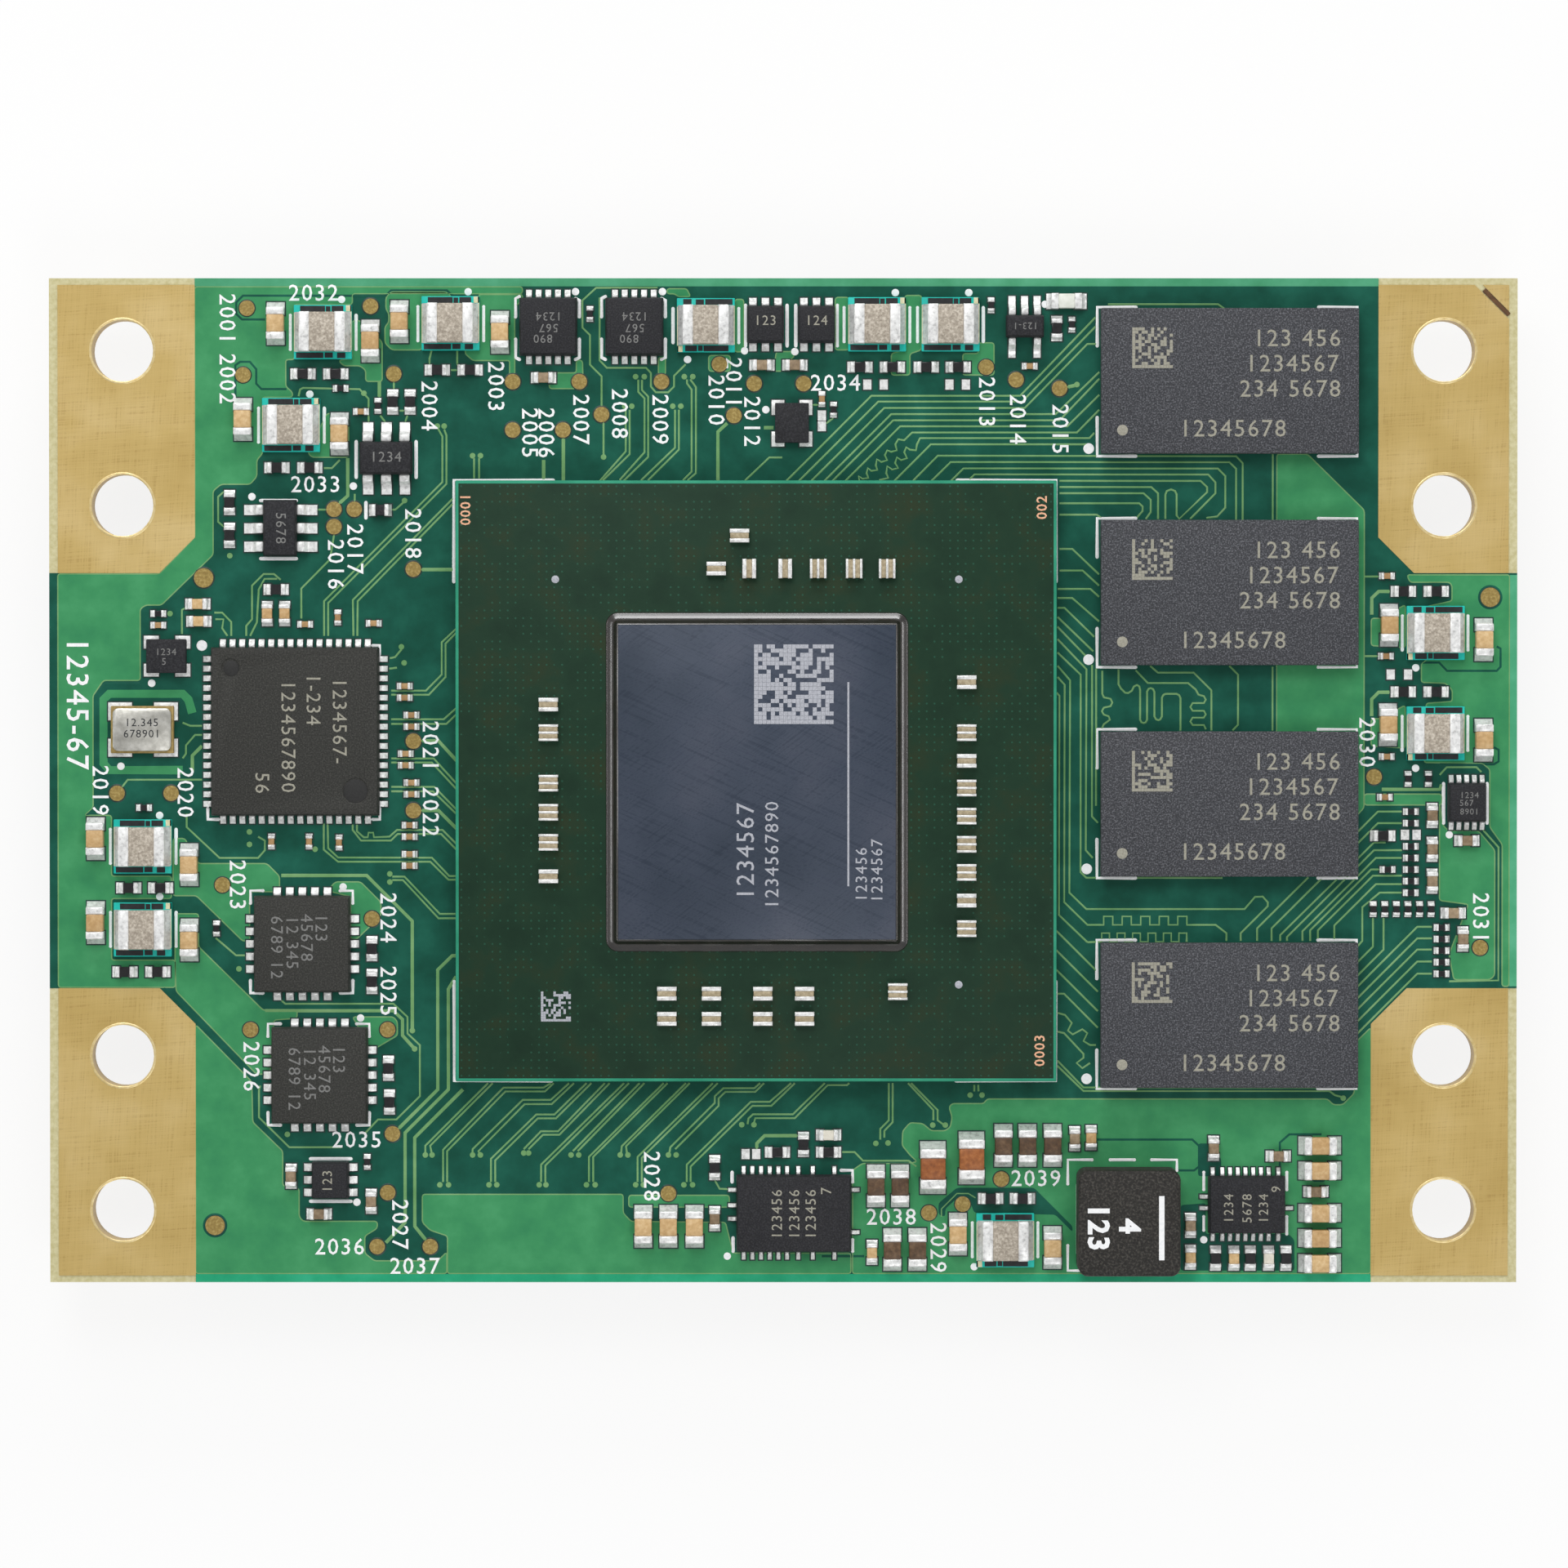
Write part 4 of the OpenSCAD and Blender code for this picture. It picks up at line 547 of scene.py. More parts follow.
copper = {
    "pours": [
        [(-30.45, 25.55), (-13.5, 25.55), (-13.5, 25.2), (-22.3, 25.2), (-22.3, 24.65), (-25.3, 24.65),
         (-25.3, 21.8), (-25.75, 21.8), (-25.75, 20.4), (-25.4, 20.1), (-25.4, 19.85), (-26.95, 19.85),
         (-26.95, 16.95), (-27.25, 16.6), (-27.25, 15.75), (-27.6, 15.35), (-29.1, 15.35), (-29.52, 15.0),
         (-29.52, 11.7), (-32.2, 9.1), (-33.0, 9.1), (-33.3, 8.9), (-33.3, 5.2), (-35.2, 5.2), (-35.75, 4.4),
         (-35.75, -1.4), (-36.2, -1.8), (-34.8, -1.8), (-34.8, -4.95), (-31.7, -4.95), (-31.7, -6.1),
         (-34.8, -6.1), (-34.8, -9.3), (-31.5, -9.3), (-31.5, -10.7), (-37.55, -10.7), (-37.55, 10.7),
         (-32.3, 10.7), (-30.45, 12.6)],
        [(-20.55, 25.0), (-20.3, 25.3), (-17.45, 25.3), (-17.15, 25.05), (-18.7, 25.05), (-18.7, 22.3),
         (-20.25, 22.3), (-20.6, 22.65), (-20.6, 23.5), (-20.4, 23.7), (-20.4, 24.2), (-20.55, 24.4)],
        [(-22.3, 23.8), (-21.9, 23.8), (-20.76, 22.7), (-20.76, 20.67), (-21.6, 20.67), (-21.6, 21.25),
         (-21.9, 21.48), (-22.75, 21.48), (-23.0, 21.75), (-22.3, 21.85)],
        [(-15.75, 25.15), (-13.5, 25.15), (-13.5, 24.9), (-13.9, 24.5), (-13.9, 21.0), (-14.15, 21.0),
         (-14.15, 21.75), (-16.05, 21.75), (-16.45, 22.1), (-16.45, 22.3), (-15.75, 22.3)],
        [(-12.1, 20.3), (-10.35, 20.3), (-10.4, 21.75), (-10.7, 21.75), (-10.7, 21.1), (-12.1, 21.1)],
        [(-6.45, 21.0), (-6.1, 21.0), (-6.1, 21.9), (-6.45, 21.9)],
        [(-3.85, 21.2), (-2.75, 21.2), (-2.75, 22.0), (-3.85, 22.0)],
        [(-6.0, 25.45), (-5.0, 25.45), (-4.8, 25.05), (-5.45, 25.05), (-5.6, 25.2), (-6.0, 25.2)],
        [(-2.5, 24.9), (-2.05, 24.9), (-2.05, 22.2), (-2.5, 22.2)],
        [(-0.35, 22.2), (0.55, 22.2), (0.55, 21.9), (0.05, 21.7), (0.05, 21.2), (-0.5, 21.2)],
        [(-24.6, 17.0), (-24.4, 16.75), (-22.5, 16.75), (-22.5, 19.0), (-23.6, 19.0)],
        [(6.3, 25.1), (7.15, 25.1), (7.15, 22.3), (6.55, 22.1), (6.55, 21.0), (5.6, 21.0), (5.6, 22.1),
         (6.3, 22.3)],
        [(10.1, 22.65), (10.9, 22.65), (10.9, 21.0), (9.3, 21.0), (9.3, 22.1), (10.1, 22.1)],
        [(2.7, 25.0), (3.4, 25.0), (3.4, 22.3), (2.7, 22.3)],
        [(-31.6, -3.0), (-31.0, -3.0), (-30.3, -4.3), (-26.75, -4.3), (-26.1, -4.95), (-26.1, -5.75),
         (-27.65, -5.75), (-27.65, -8.3), (-28.0, -8.3), (-30.4, -5.95), (-31.6, -5.95)],
        [(-31.5, -6.9), (-30.3, -6.9), (-30.3, -8.6), (-26.95, -11.9), (-25.2, -11.9), (-25.2, -12.3),
         (-26.4, -12.4), (-26.6, -15.2), (-27.3, -15.2), (-31.45, -10.9), (-31.5, -9.4)],
        [(-30.45, -12.65), (-27.55, -15.6), (-27.5, -17.7), (-25.95, -19.2), (-25.95, -21.0), (-25.1, -21.15),
         (-25.1, -22.6), (-24.9, -22.85), (-21.05, -22.85), (-21.05, -23.2), (-21.7, -23.6), (-21.7, -24.5),
         (-21.2, -24.9), (-17.9, -24.9), (-17.45, -24.45), (-17.45, -25.55), (-30.45, -25.55)],
        [(-23.6, -5.7), (-23.2, -5.25), (-21.9, -5.25), (-20.85, -6.3), (-20.85, -7.0), (-22.1, -8.2),
         (-22.4, -8.2), (-22.4, -6.0)],
        [(-22.3, -12.25), (-20.2, -12.25), (-20.0, -12.5), (-20.0, -13.2), (-21.2, -13.9), (-21.4, -13.9)],
        [(-18.7, -21.45), (-8.3, -21.45), (-8.3, -22.4), (-7.9, -22.85), (-3.0, -22.9), (-2.6, -24.5),
         (3.5, -24.5), (3.5, -25.55), (-17.4, -25.55), (-17.4, -23.6), (-18.3, -23.3), (-18.7, -22.9)],
        [(-8.0, -21.5), (-2.8, -21.5), (-2.8, -22.1), (-8.0, -22.1)],
        [(8.6, -16.9), (8.76, -16.74), (10.4, -16.74), (10.56, -16.5), (28.2, -16.5), (28.5, -16.8),
         (29.0, -16.8), (29.6, -16.2), (29.62, -13.6), (30.45, -12.8), (30.45, -25.55), (3.6, -25.55),
         (3.6, -20.2), (4.1, -19.85), (6.5, -19.85), (6.95, -19.75), (6.58, -19.4), (6.17, -18.9),
         (6.2, -18.16), (6.58, -17.73), (7.23, -17.78), (7.67, -18.15), (8.4, -18.15), (8.67, -17.95),
         (8.76, -17.45)],
        [(25.55, 16.9), (27.13, 16.9), (30.07, 14.0), (30.07, -1.4), (29.7, -1.8), (25.55, -1.8)],
        [(32.45, 10.28), (34.5, 10.28), (34.63, 10.1), (34.63, 9.3), (33.95, 9.15), (33.3, 9.0), (33.3, 6.2),
         (33.05, 6.1), (33.05, 5.1), (34.3, 5.05), (34.65, 4.7), (34.65, 4.1), (33.3, 4.0), (33.2, 0.95),
         (36.2, 0.9), (36.6, 0.6), (36.6, -2.4), (37.25, -3.3), (37.25, -10.65), (37.6, -10.65),
         (37.6, 10.65), (32.3, 10.65)],
        [(34.0, -1.2), (34.15, -2.3), (34.45, -2.6), (36.0, -2.6), (36.85, -3.6), (36.85, -10.1),
         (36.6, -10.3), (34.75, -10.3), (34.5, -9.0), (35.5, -6.4), (34.0, -6.2)],
        [(30.45, 7.0), (30.45, 8.4), (30.9, 8.4), (32.2, 9.1), (32.2, 6.9)],
        [(30.45, 1.8), (30.45, 3.2), (30.9, 3.2), (32.2, 3.9), (32.2, 1.7)],
        [(30.1, -0.7), (34.1, -0.7), (34.1, -1.25), (30.1, -1.25)],
    ],
    "guard": [(-30.6, 3.5), (-30.8, 4.2), (-31.1, 4.5), (-34.9, 4.5), (-35.2, 4.2), (-35.2, 0.9),
        (-34.9, 0.55), (-31.1, 0.55)],
    "channels": [
        [(-20.57, 25.09), (-27.95, 25.1), (-28.3, 24.75), (-28.3, 24.15), (-28.0, 23.87), (-26.8, 23.87)],
        [(-28.35, 19.9), (-28.35, 21.5), (-28.1, 21.68), (-27.6, 21.68), (-27.27, 21.3), (-27.27, 20.55),
         (-27.0, 20.27), (-25.7, 20.27)],
        [(-20.57, 25.09), (-20.29, 25.37), (-17.4, 25.37), (-17.13, 25.1)],
        [(-33.3, 5.0), (-35.1, 5.0), (-35.6, 4.4), (-35.6, -1.3), (-36.1, -1.8)],
        [(16.25, -18.6), (21.2, -18.6), (21.55, -18.93), (21.55, -20.0), (21.3, -20.2), (20.45, -20.2)],
        [(25.74, -20.2), (25.74, -18.76), (26.23, -18.33), (27.9, -18.33)],
        [(2.0, -24.65), (4.2, -24.65)],
        [(32.6, 6.12), (33.96, 6.12), (34.37, 5.69), (36.94, 5.69), (37.14, 5.9), (37.14, 6.84),
         (36.94, 6.95)],
        [(36.8, 1.73), (37.05, 1.6), (37.05, 1.0), (36.8, 0.85), (34.0, 0.85)],
        [(25.45, 16.9), (25.45, 13.5)], [(25.45, 5.9), (25.45, 2.6)],
        [(-8.2, -21.5), (-8.2, -22.4), (-7.8, -22.75), (-3.2, -22.8)],
        [(-32.1, -10.75), (-27.45, -15.35)],
    ],
    "pockets": [
        [(9.0, -21.1), (13.0, -21.1), (15.0, -23.1), (15.0, -23.4), (14.1, -22.5), (9.9, -22.4), (9.6, -21.6),
         (9.05, -21.6), (8.4, -22.2), (8.4, -22.6), (8.05, -22.5), (8.05, -21.9)],
        [(21.5, -18.8), (22.1, -18.8), (22.7, -19.6), (22.7, -20.5), (21.5, -20.5)],
        [(20.6, -22.0), (21.9, -21.9), (21.9, -23.5), (26.2, -23.5), (26.5, -23.8), (26.5, -25.4),
         (20.6, -25.4)],
        [(27.4, -18.6), (28.1, -18.6), (28.1, -19.0), (27.4, -19.0)],
        [(27.4, -20.4), (28.1, -20.4), (28.1, -20.8), (27.4, -20.8)],
    ],
    "marks": [(-29.45, -23.05), (36.6, 9.5)],
}
tracks = {
    0.1: [
        [(-25.08, 19.9), (-25, 20.25), (-24.85, 20.33), (-21.92, 20.26), (-21.46, 19.77), (-21.46, 18.5)],
        [(-20.15, 20.65), (-20.15, 20.2)], [(-20.85, 18.9), (-20.55, 18.5)], [(-19.87, 19.15),
         (-19.45, 19.15)],
        [(-19.45, 18.9), (-19.58, 18.5)], [(-23.77, 16.18), (-23.36, 16.18), (-22.95, 16.6)],
        [(-22.18, 14.85), (-22.18, 14.35)], [(-24.2, 14.03), (-23.6, 14.03)],
        [(-20.44, 14.03), (-20.08, 14.03), (-19.62, 14.44)],
        [(-23.25, 12.74), (-23.46, 11.46), (-24.95, 9.95), (-24.95, 8.4)],
        [(-28.9, 15), (-29.25, 14.7), (-29.25, 13.4), (-28.9, 13.1)],
        [(-17.9, 18.28), (-17.64, 17.82), (-17.64, 15.46), (-23.77, 9.3), (-23.77, 7.5)],
        [(-17.55, 18.18), (-17.43, 17.87), (-17.43, 15.36), (-23.56, 9.2), (-23.56, 7.5)],
        [(-17.1, 14.6), (-22.28, 9.36), (-22.25, 7.5)], [(-17.1, 14.33), (-22.03, 9.3), (-22.05, 7.5)],
        [(-16, 16.69), (-16, 15.65)], [(-15.74, 16.69), (-15.74, 15.65)],
        [(-18.2, 22.25), (-18.3, 21.85), (-18.3, 21.5)], [(-16.87, 22.25), (-16.87, 21.5)],
        [(-17.2, 21.25), (-16.85, 21.25)],
        [(-8.9, 25.5), (-9.68, 25.5), (-10.39, 24.85), (-10.39, 23.44), (-10, 23.06), (-10, 21.53),
         (-9.4, 20.93), (-9.4, 19.4)],
        [(-9.3, 18.55), (-9.3, 16.75)],
        [(-9.5, 25), (-9.5, 21.75), (-9.13, 21.37), (-7.1, 21.37), (-6.85, 21.1), (-6.85, 20.4), (-6.6, 20.1),
         (-5.95, 20.1), (-5.65, 20.4), (-5.65, 20.95), (-5.05, 21.55)],
        [(-8.9, 25.5), (-6.5, 25.5)],
        [(-8.15, 19.35), (-8.15, 17.05), (-9.5, 15.5)], [(-7.95, 19.2), (-7.95, 16.9), (-9.33, 15.54)],
        [(-7.5, 20.75), (-7.5, 20.12), (-7.18, 19.79), (-7.18, 17), (-8.46, 15.56)],
        [(-7.31, 20.75), (-7.31, 20.22), (-6.99, 19.88), (-6.99, 16.76), (-8.27, 15.5)],
        [(-5.6, 19.2), (-5.6, 17.24), (-7.36, 15.54)], [(-5.4, 19.2), (-5.4, 17.14), (-7, 15.54)],
        [(-4.98, 20.77), (-4.98, 20.56), (-4.74, 20.24), (-4.74, 16), (-5.19, 15.54)],
        [(-4.81, 20.77), (-4.52, 20.37), (-4.52, 15.92), (-4.95, 15.54)],
        [(-0.05, 16.73), (-0.72, 16.73), (-1.97, 15.54)], [(1.44, 19.45), (1.87, 19.45)],
        [(2.1, 18.4), (2.6, 18.78)],
        [(0.15, 15.5), (4.56, 19.92), (12.26, 19.92), (16.16, 23.98)],
        [(0.8, 15.5), (4.92, 19.62), (12.36, 19.62), (16.16, 23.5)],
        [(1.44, 15.5), (5.23, 19.29), (12.5, 19.29), (15.74, 22.6), (16.25, 22.6)],
        [(2.12, 15.5), (5.59, 18.97), (14.1, 18.97), (16.36, 21.15)],
        [(2.54, 15.5), (5.69, 18.65), (14.3, 18.65), (16.36, 20.8)],
        [(3.2, 15.5), (6.05, 18.34), (14.7, 18.34), (16.36, 19.97)],
        [(3.95, 15.5), (3.9, 15.77), (4.1, 15.62), (4.41, 15.67), (4.31, 15.92), (4.38, 16.18), (4.56, 16.03),
         (4.87, 16.08), (4.79, 16.33), (4.85, 16.64), (5.08, 16.49), (5.38, 16.59), (5.26, 16.85),
         (5.38, 17.1), (5.59, 17.02), (5.88, 17.1), (5.8, 17.41), (5.95, 17.67), (6.26, 17.62), (6.67, 18.02),
         (15.2, 18.02), (16.36, 19.2)],
        [(4.97, 15.55), (5.44, 15.67), (5.33, 15.92), (5.38, 16.28), (5.64, 16.1), (5.95, 16.18),
         (5.79, 16.44), (5.88, 16.74), (6.1, 16.59), (6.41, 16.69), (6.26, 17), (6.36, 17.26), (6.56, 17.13),
         (6.87, 17.1), (6.92, 17.41), (7.08, 17.73), (15.85, 17.73), (16.1, 18)],
        [(5.74, 15.5), (7.64, 17.41), (15.8, 17.41)],
        [(6.7, 15.5), (8, 16.82), (23.44, 16.8), (23.78, 16.44), (23.78, 13.5)],
        [(7.66, 15.5), (8.67, 16.49), (23.09, 16.49), (23.44, 16.15), (23.44, 13.5)],
        [(8.67, 15.5), (9.33, 16.16), (22.5, 16.16), (22.88, 15.77), (22.88, 14.13), (22.46, 13.67),
         (21.9, 13.6)],
        [(9.6, 15.55), (9.9, 15.85), (22, 15.85), (22.37, 15.44), (22.37, 14.88), (21.07, 13.55)],
        [(14.3, 15.52), (21.6, 15.52), (21.94, 15.2), (21.94, 14.94), (20.5, 13.55), (20.36, 13.73),
         (20.36, 14.82), (20.28, 15.0), (20.07, 15.08), (19.86, 15.0), (19.78, 14.82), (19.78, 13.55)],
        [(14.3, 15.2), (19.05, 15.2), (19.4, 14.88), (19.4, 13.55)],
        [(14.3, 14.88), (18.65, 14.88), (19.02, 14.54), (19.02, 13.9), (18.77, 13.55)],
        [(14.3, 14.36), (18.42, 14.36), (18.6, 14.2), (18.6, 13.96), (18.25, 13.55)],
        [(14.3, 13.77), (16.23, 13.77), (16.46, 13.6)], [(16.8, 24.65), (22.5, 24.65), (22.85, 24.4)],
        [(25.34, 16.9), (25.34, 13.5)], [(25.34, 5.9), (25.34, 2.6)],
        [(14.3, 12), (14.96, 12), (16.35, 10.68)], [(14.3, 10.88), (15.5, 10.88), (16.35, 10.1)],
        [(14.2, 9.93), (15.9, 9.93), (16.35, 9.52)], [(14.2, 9.46), (14.96, 9.46), (16.35, 8.25)],
        [(14.2, 8.95), (14.56, 8.95), (16.1, 7.45)], [(14.2, 8.48), (16.05, 6.7)],
        [(14.2, 7.97), (15.65, 6.47)],
        [(14.2, 7.33), (15.7, 5.77), (15.67, -3.6), (16.03, -4)],
        [(14.2, 6.64), (15.4, 5.49), (15.4, -4.74), (15.7, -5.03), (22.76, -5.03)],
        [(14.2, 5.95), (14.85, 5.2), (14.82, -5.8), (15.7, -6.65), (23.9, -6.65), (24.44, -6.02), (24.84, -6),
         (25.1, -6.3), (25.1, -6.5), (23.7, -7.9), (23.7, -8.3)],
        [(14.15, 4.56), (14.3, 4.39), (14.28, -6.96), (15.76, -8.37)],
        [(15.99, 6), (15.99, -1.85), (16.3, -2.18)], [(16.2, 5.8), (16.2, -1.3)],
        [(16.52, 5.7), (16.52, 4.5), (16.6, 4.32), (16.95, 4.24), (17.04, 4.05), (16.95, 3.86), (16.6, 3.78),
         (16.5, 3.6), (16.6, 3.42), (16.84, 3.34), (16.92, 3.16), (16.6, 2.92), (16.5, 2.7)],
        [(17.36, 5.77), (17.36, 5.0), (17.48, 4.78), (17.7, 4.56), (17.86, 4.54), (18.05, 4.66),
         (18.16, 4.88), (18.32, 4.96), (18.44, 4.88), (18.48, 4.7), (18.48, 3.16), (18.55, 3.02),
         (18.66, 2.98), (18.77, 3.02), (18.84, 3.16), (18.84, 4.62), (18.92, 4.76), (19.04, 4.8),
         (19.15, 4.74), (19.22, 4.6), (19.22, 3.33), (19.3, 3.18), (19.42, 3.13), (19.53, 3.18),
         (19.61, 3.33), (19.61, 4.3), (19.68, 4.44), (19.8, 4.5), (20.36, 4.5), (20.5, 4.43), (20.57, 4.28),
         (20.57, 2.6)],
        [(18.25, 5.72), (18.88, 5.06), (20.96, 5.06), (21.36, 4.72), (21.5, 4.46), (21.78, 4.38),
         (21.88, 4.2), (21.78, 4.02), (21.2, 4.02), (21.08, 3.82), (21.2, 3.62), (21.78, 3.62), (21.88, 3.44),
         (21.78, 3.26), (21.2, 3.26), (21.08, 3.07), (21.2, 2.88), (21.78, 2.88), (21.88, 2.66)],
        [(19, 5.95), (19.4, 5.6), (21.25, 5.6), (22.17, 4.68), (22.17, 2.6)],
        [(23.1, 5.95), (23.55, 5.49), (23.55, 2.9), (23.27, 2.6)],
        [(14.14, -7.77), (16.3, -9.92)], [(14.14, -8.78), (16.3, -10.93)], [(14.14, -9.79), (16.3, -11.94)],
        [(14.2, -11.04), (14.55, -11.04), (16.3, -12.8)],
        [(14.2, -12.03), (14.6, -12.14), (14.95, -12.55), (14.75, -12.95), (15, -13.15), (15.5, -12.88),
         (15.76, -13.08), (15.56, -13.49), (15.9, -13.7), (16.2, -13.7)],
        [(14.2, -13), (14.55, -13.08), (15.56, -14.16), (15.56, -14.36), (15.2, -14.63), (15.5, -14.9),
         (15.9, -14.63)],
        [(14.2, -14.5), (15.56, -15.9), (29.15, -15.9)],
        [(14.2, -14.77), (15.56, -16.08), (28.3, -16.08), (28.6, -16.3), (29, -16.4)],
        [(24.55, -8.3), (24.55, -7.65), (27.2, -5)], [(25.3, -8.3), (25.3, -7.65), (27.95, -5)],
        [(25.75, -8.3), (25.75, -8), (30.6, -3.2), (31.2, -3.2)],
        [(26.1, -8.3), (26.1, -8.1), (30.6, -3.6), (32.05, -3.6)],
        [(26.9, -8.3), (26.9, -7.8), (30.7, -4), (32.05, -4)],
        [(27.3, -8.3), (27.3, -7.75), (30.45, -4.6), (30.9, -4.6)],
        [(27.7, -8.3), (27.7, -7.75), (30.55, -4.92), (32.05, -4.92)],
        [(28.55, -8.3), (28.55, -7.5), (30.7, -5.36), (32.05, -5.36)],
        [(32.05, -5.8), (30.9, -5.8), (30, -6.55), (30, -8.3), (29.7, -8.64)],
        [(32.05, -1.6), (30.8, -1.6), (29.7, -2.7)], [(32.05, -2.2), (30.8, -2.2), (29.75, -3.25)],
        [(33.6, -7.57), (32.85, -7.57), (29.7, -10.72)], [(33.6, -8.17), (32.85, -8.17), (29.7, -11.32)],
        [(33.6, -8.75), (32.85, -8.75), (29.7, -11.9)], [(33.6, -9.37), (32.85, -9.37), (29.7, -12.52)],
        [(33.6, -10.0), (32.85, -10.0), (29.7, -13.15)],
        [(30.55, -7.1), (30.55, -8.6), (29.7, -9.45)], [(31.1, -7.1), (31.1, -8.75), (29.7, -10.15)],
        [(30.1, 10.57), (30.85, 10.57)], [(30.1, 6.45), (30.85, 6.45)],
        [(-31.1, 3), (-30.7, 2.84), (-30.1, 2.84)],
        [(-31.1, 1.16), (-30.93, 1.4), (-30.93, 1.83), (-30.46, 2.37), (-30.1, 2.37)],
        [(-34.3, -0.4), (-33.95, 0.05), (-30.1, 0.05)], [(-31.13, 7.6), (-31.13, 8.85), (-30.9, 8.95)],
        [(-29.45, 8.7), (-29.05, 8.7), (-28.58, 8.22), (-28.58, 7.5)],
        [(-29.4, 8.36), (-28.98, 8.36), (-29.05, 7.9), (-28.78, 7.5)],
        [(-27.8, 7.5), (-27.8, 8.02), (-27.5, 8.36), (-27.5, 10.1), (-26.9, 10.7), (-26.36, 10.7),
         (-26.02, 10.4)],
        [(-27.6, 7.5), (-27.25, 8.2), (-27.15, 9.9), (-26.85, 10.45), (-26.2, 10.45)],
        [(-20.37, 6.34), (-20.1, 6.4), (-19.76, 6.8)], [(-20.4, 5.8), (-20.0, 5.85)],
        [(-20.3, 4.66), (-18.5, 4.66), (-17.68, 5.5), (-17.68, 7.17), (-16.92, 7.87)],
        [(-20.3, 4.45), (-18.35, 4.45), (-17.48, 5.37), (-17.48, 7.1), (-16.92, 7.66)],
        [(-20.3, 3.18), (-17.58, 3.18), (-16.92, 3.76)], [(-20.3, 2.94), (-17.44, 2.94), (-16.92, 3.44)],
        [(-20.3, 1.15), (-18.1, 1.15), (-16.92, -0.15)], [(-20.3, 0.94), (-18.2, 0.94), (-16.92, -0.44)],
        [(-20.3, -0.32), (-18.07, -0.32), (-16.92, -1.5)], [(-20.3, -0.55), (-18.14, -0.55), (-16.92, -1.73)],
        [(-22.3, -2.27), (-22.3, -2.55), (-21.87, -3.1), (-20.32, -3.1), (-19.97, -2.76), (-17.72, -2.76),
         (-16.92, -3.58)],
        [(-22.08, -2.27), (-22.08, -2.62), (-21.73, -2.93), (-21.52, -2.93), (-21.48, -2.69), (-21.24, -2.69),
         (-21.2, -2.93), (-20.4, -2.9), (-20, -2.55), (-17.65, -2.55), (-16.92, -3.28)],
        [(-23.6, -2.22), (-23.57, -3.5), (-23.06, -3.98), (-18.2, -3.99), (-17.3, -4.94), (-16.92, -4.94)],
        [(-23.8, -2.22), (-23.8, -3.57), (-23.06, -4.2), (-18.28, -4.2), (-17.34, -5.13), (-16.92, -5.13)],
        [(-20.25, -4.97), (-19.62, -4.97), (-17.79, -6.9), (-16.92, -6.9)],
        [(-20.25, -5.15), (-19.7, -5.15), (-17.86, -7.13), (-16.92, -7.13)],
        [(-30.9, -1.7), (-30.9, -2.4), (-29.2, -4.0), (-27.2, -4.0), (-26.85, -3.6), (-26.85, -3.1),
         (-27.2, -2.9)],
        [(-29.4, -8.15), (-28.35, -9.05), (-27.9, -9.05)],
        [(-26.1, -11.3), (-25.8, -11.56), (-20.2, -11.56), (-19.47, -12.24), (-19.47, -13.1), (-18.83, -13.7),
         (-18.83, -16.35), (-20.05, -17.56), (-21, -17.56), (-21.7, -18.3)],
        [(-27.1, -15.8), (-27.17, -16), (-27.17, -17.45), (-25.6, -19), (-22.9, -19)],
        [(-15.3, -15.67), (-18.55, -18.92), (-18.55, -19.4)],
        [(-15.06, -15.67), (-18.3, -18.92), (-18.2, -19.4)],
        [(-12.05, -15.67), (-12.43, -15.9), (-14.5, -15.9), (-17.63, -19.13), (-17.63, -20.8)],
        [(-11.9, -15.67), (-12.35, -16.1), (-14.4, -16.1), (-17.42, -19.2), (-17.42, -20.8)],
        [(-11.1, -15.67), (-12.05, -16.54), (-13.5, -16.54), (-16.1, -19.1), (-16.1, -19.4)],
        [(-10.85, -15.67), (-12.0, -16.76), (-13.4, -16.76), (-15.8, -19.2), (-15.7, -19.4)],
        [(-10.2, -15.67), (-11.86, -17.3), (-12.8, -17.3), (-15.15, -19.6), (-15.15, -20.8)],
        [(-9.95, -15.67), (-11.78, -17.5), (-12.72, -17.5), (-14.93, -19.68), (-14.93, -20.8)],
        [(-9.25, -15.67), (-11.67, -18.17), (-12.56, -18.17), (-13.45, -19.1)],
        [(-9.0, -15.67), (-11.6, -18.35), (-12.45, -18.35), (-13.2, -19.1)],
        [(-8.25, -15.67), (-12.55, -19.9), (-12.55, -20.8)],
        [(-8.0, -15.67), (-12.33, -19.95), (-12.33, -20.8)],
        [(-7.45, -15.67), (-10.9, -19.2)], [(-7.2, -15.67), (-10.65, -19.2)],
        [(-6.2, -15.67), (-10.07, -19.5), (-10.07, -20.8)], [(-6.0, -15.67), (-9.85, -19.5), (-9.85, -20.8)],
        [(-5.05, -15.67), (-8.37, -18.95), (-8.4, -19.3)], [(-4.85, -15.67), (-8.15, -18.95), (-8.1, -19.3)],
        [(-3.65, -15.67), (-7.55, -19.5), (-7.55, -20.8)], [(-3.4, -15.67), (-7.33, -19.55), (-7.33, -20.8)],
        [(-1.2, -15.67), (-1.5, -15.93), (-3.1, -15.93), (-3.55, -16.35), (-3.55, -16.7), (-5.85, -19),
         (-5.9, -19.3)],
        [(-1, -15.67), (-1.45, -16.12), (-3, -16.12), (-3.35, -16.47), (-3.35, -16.85), (-5.6, -19.1)],
        [(0.4, -15.67), (-0.7, -16.64), (-1.68, -16.64), (-5, -19.9), (-5, -20.8)],
        [(0.6, -15.67), (-0.62, -16.85), (-1.6, -16.85), (-4.8, -20.0), (-4.8, -20.8)],
        [(2.15, -15.67), (0.5, -17.29), (-1.57, -17.29), (-1.8, -17.5), (-1.85, -17.8)],
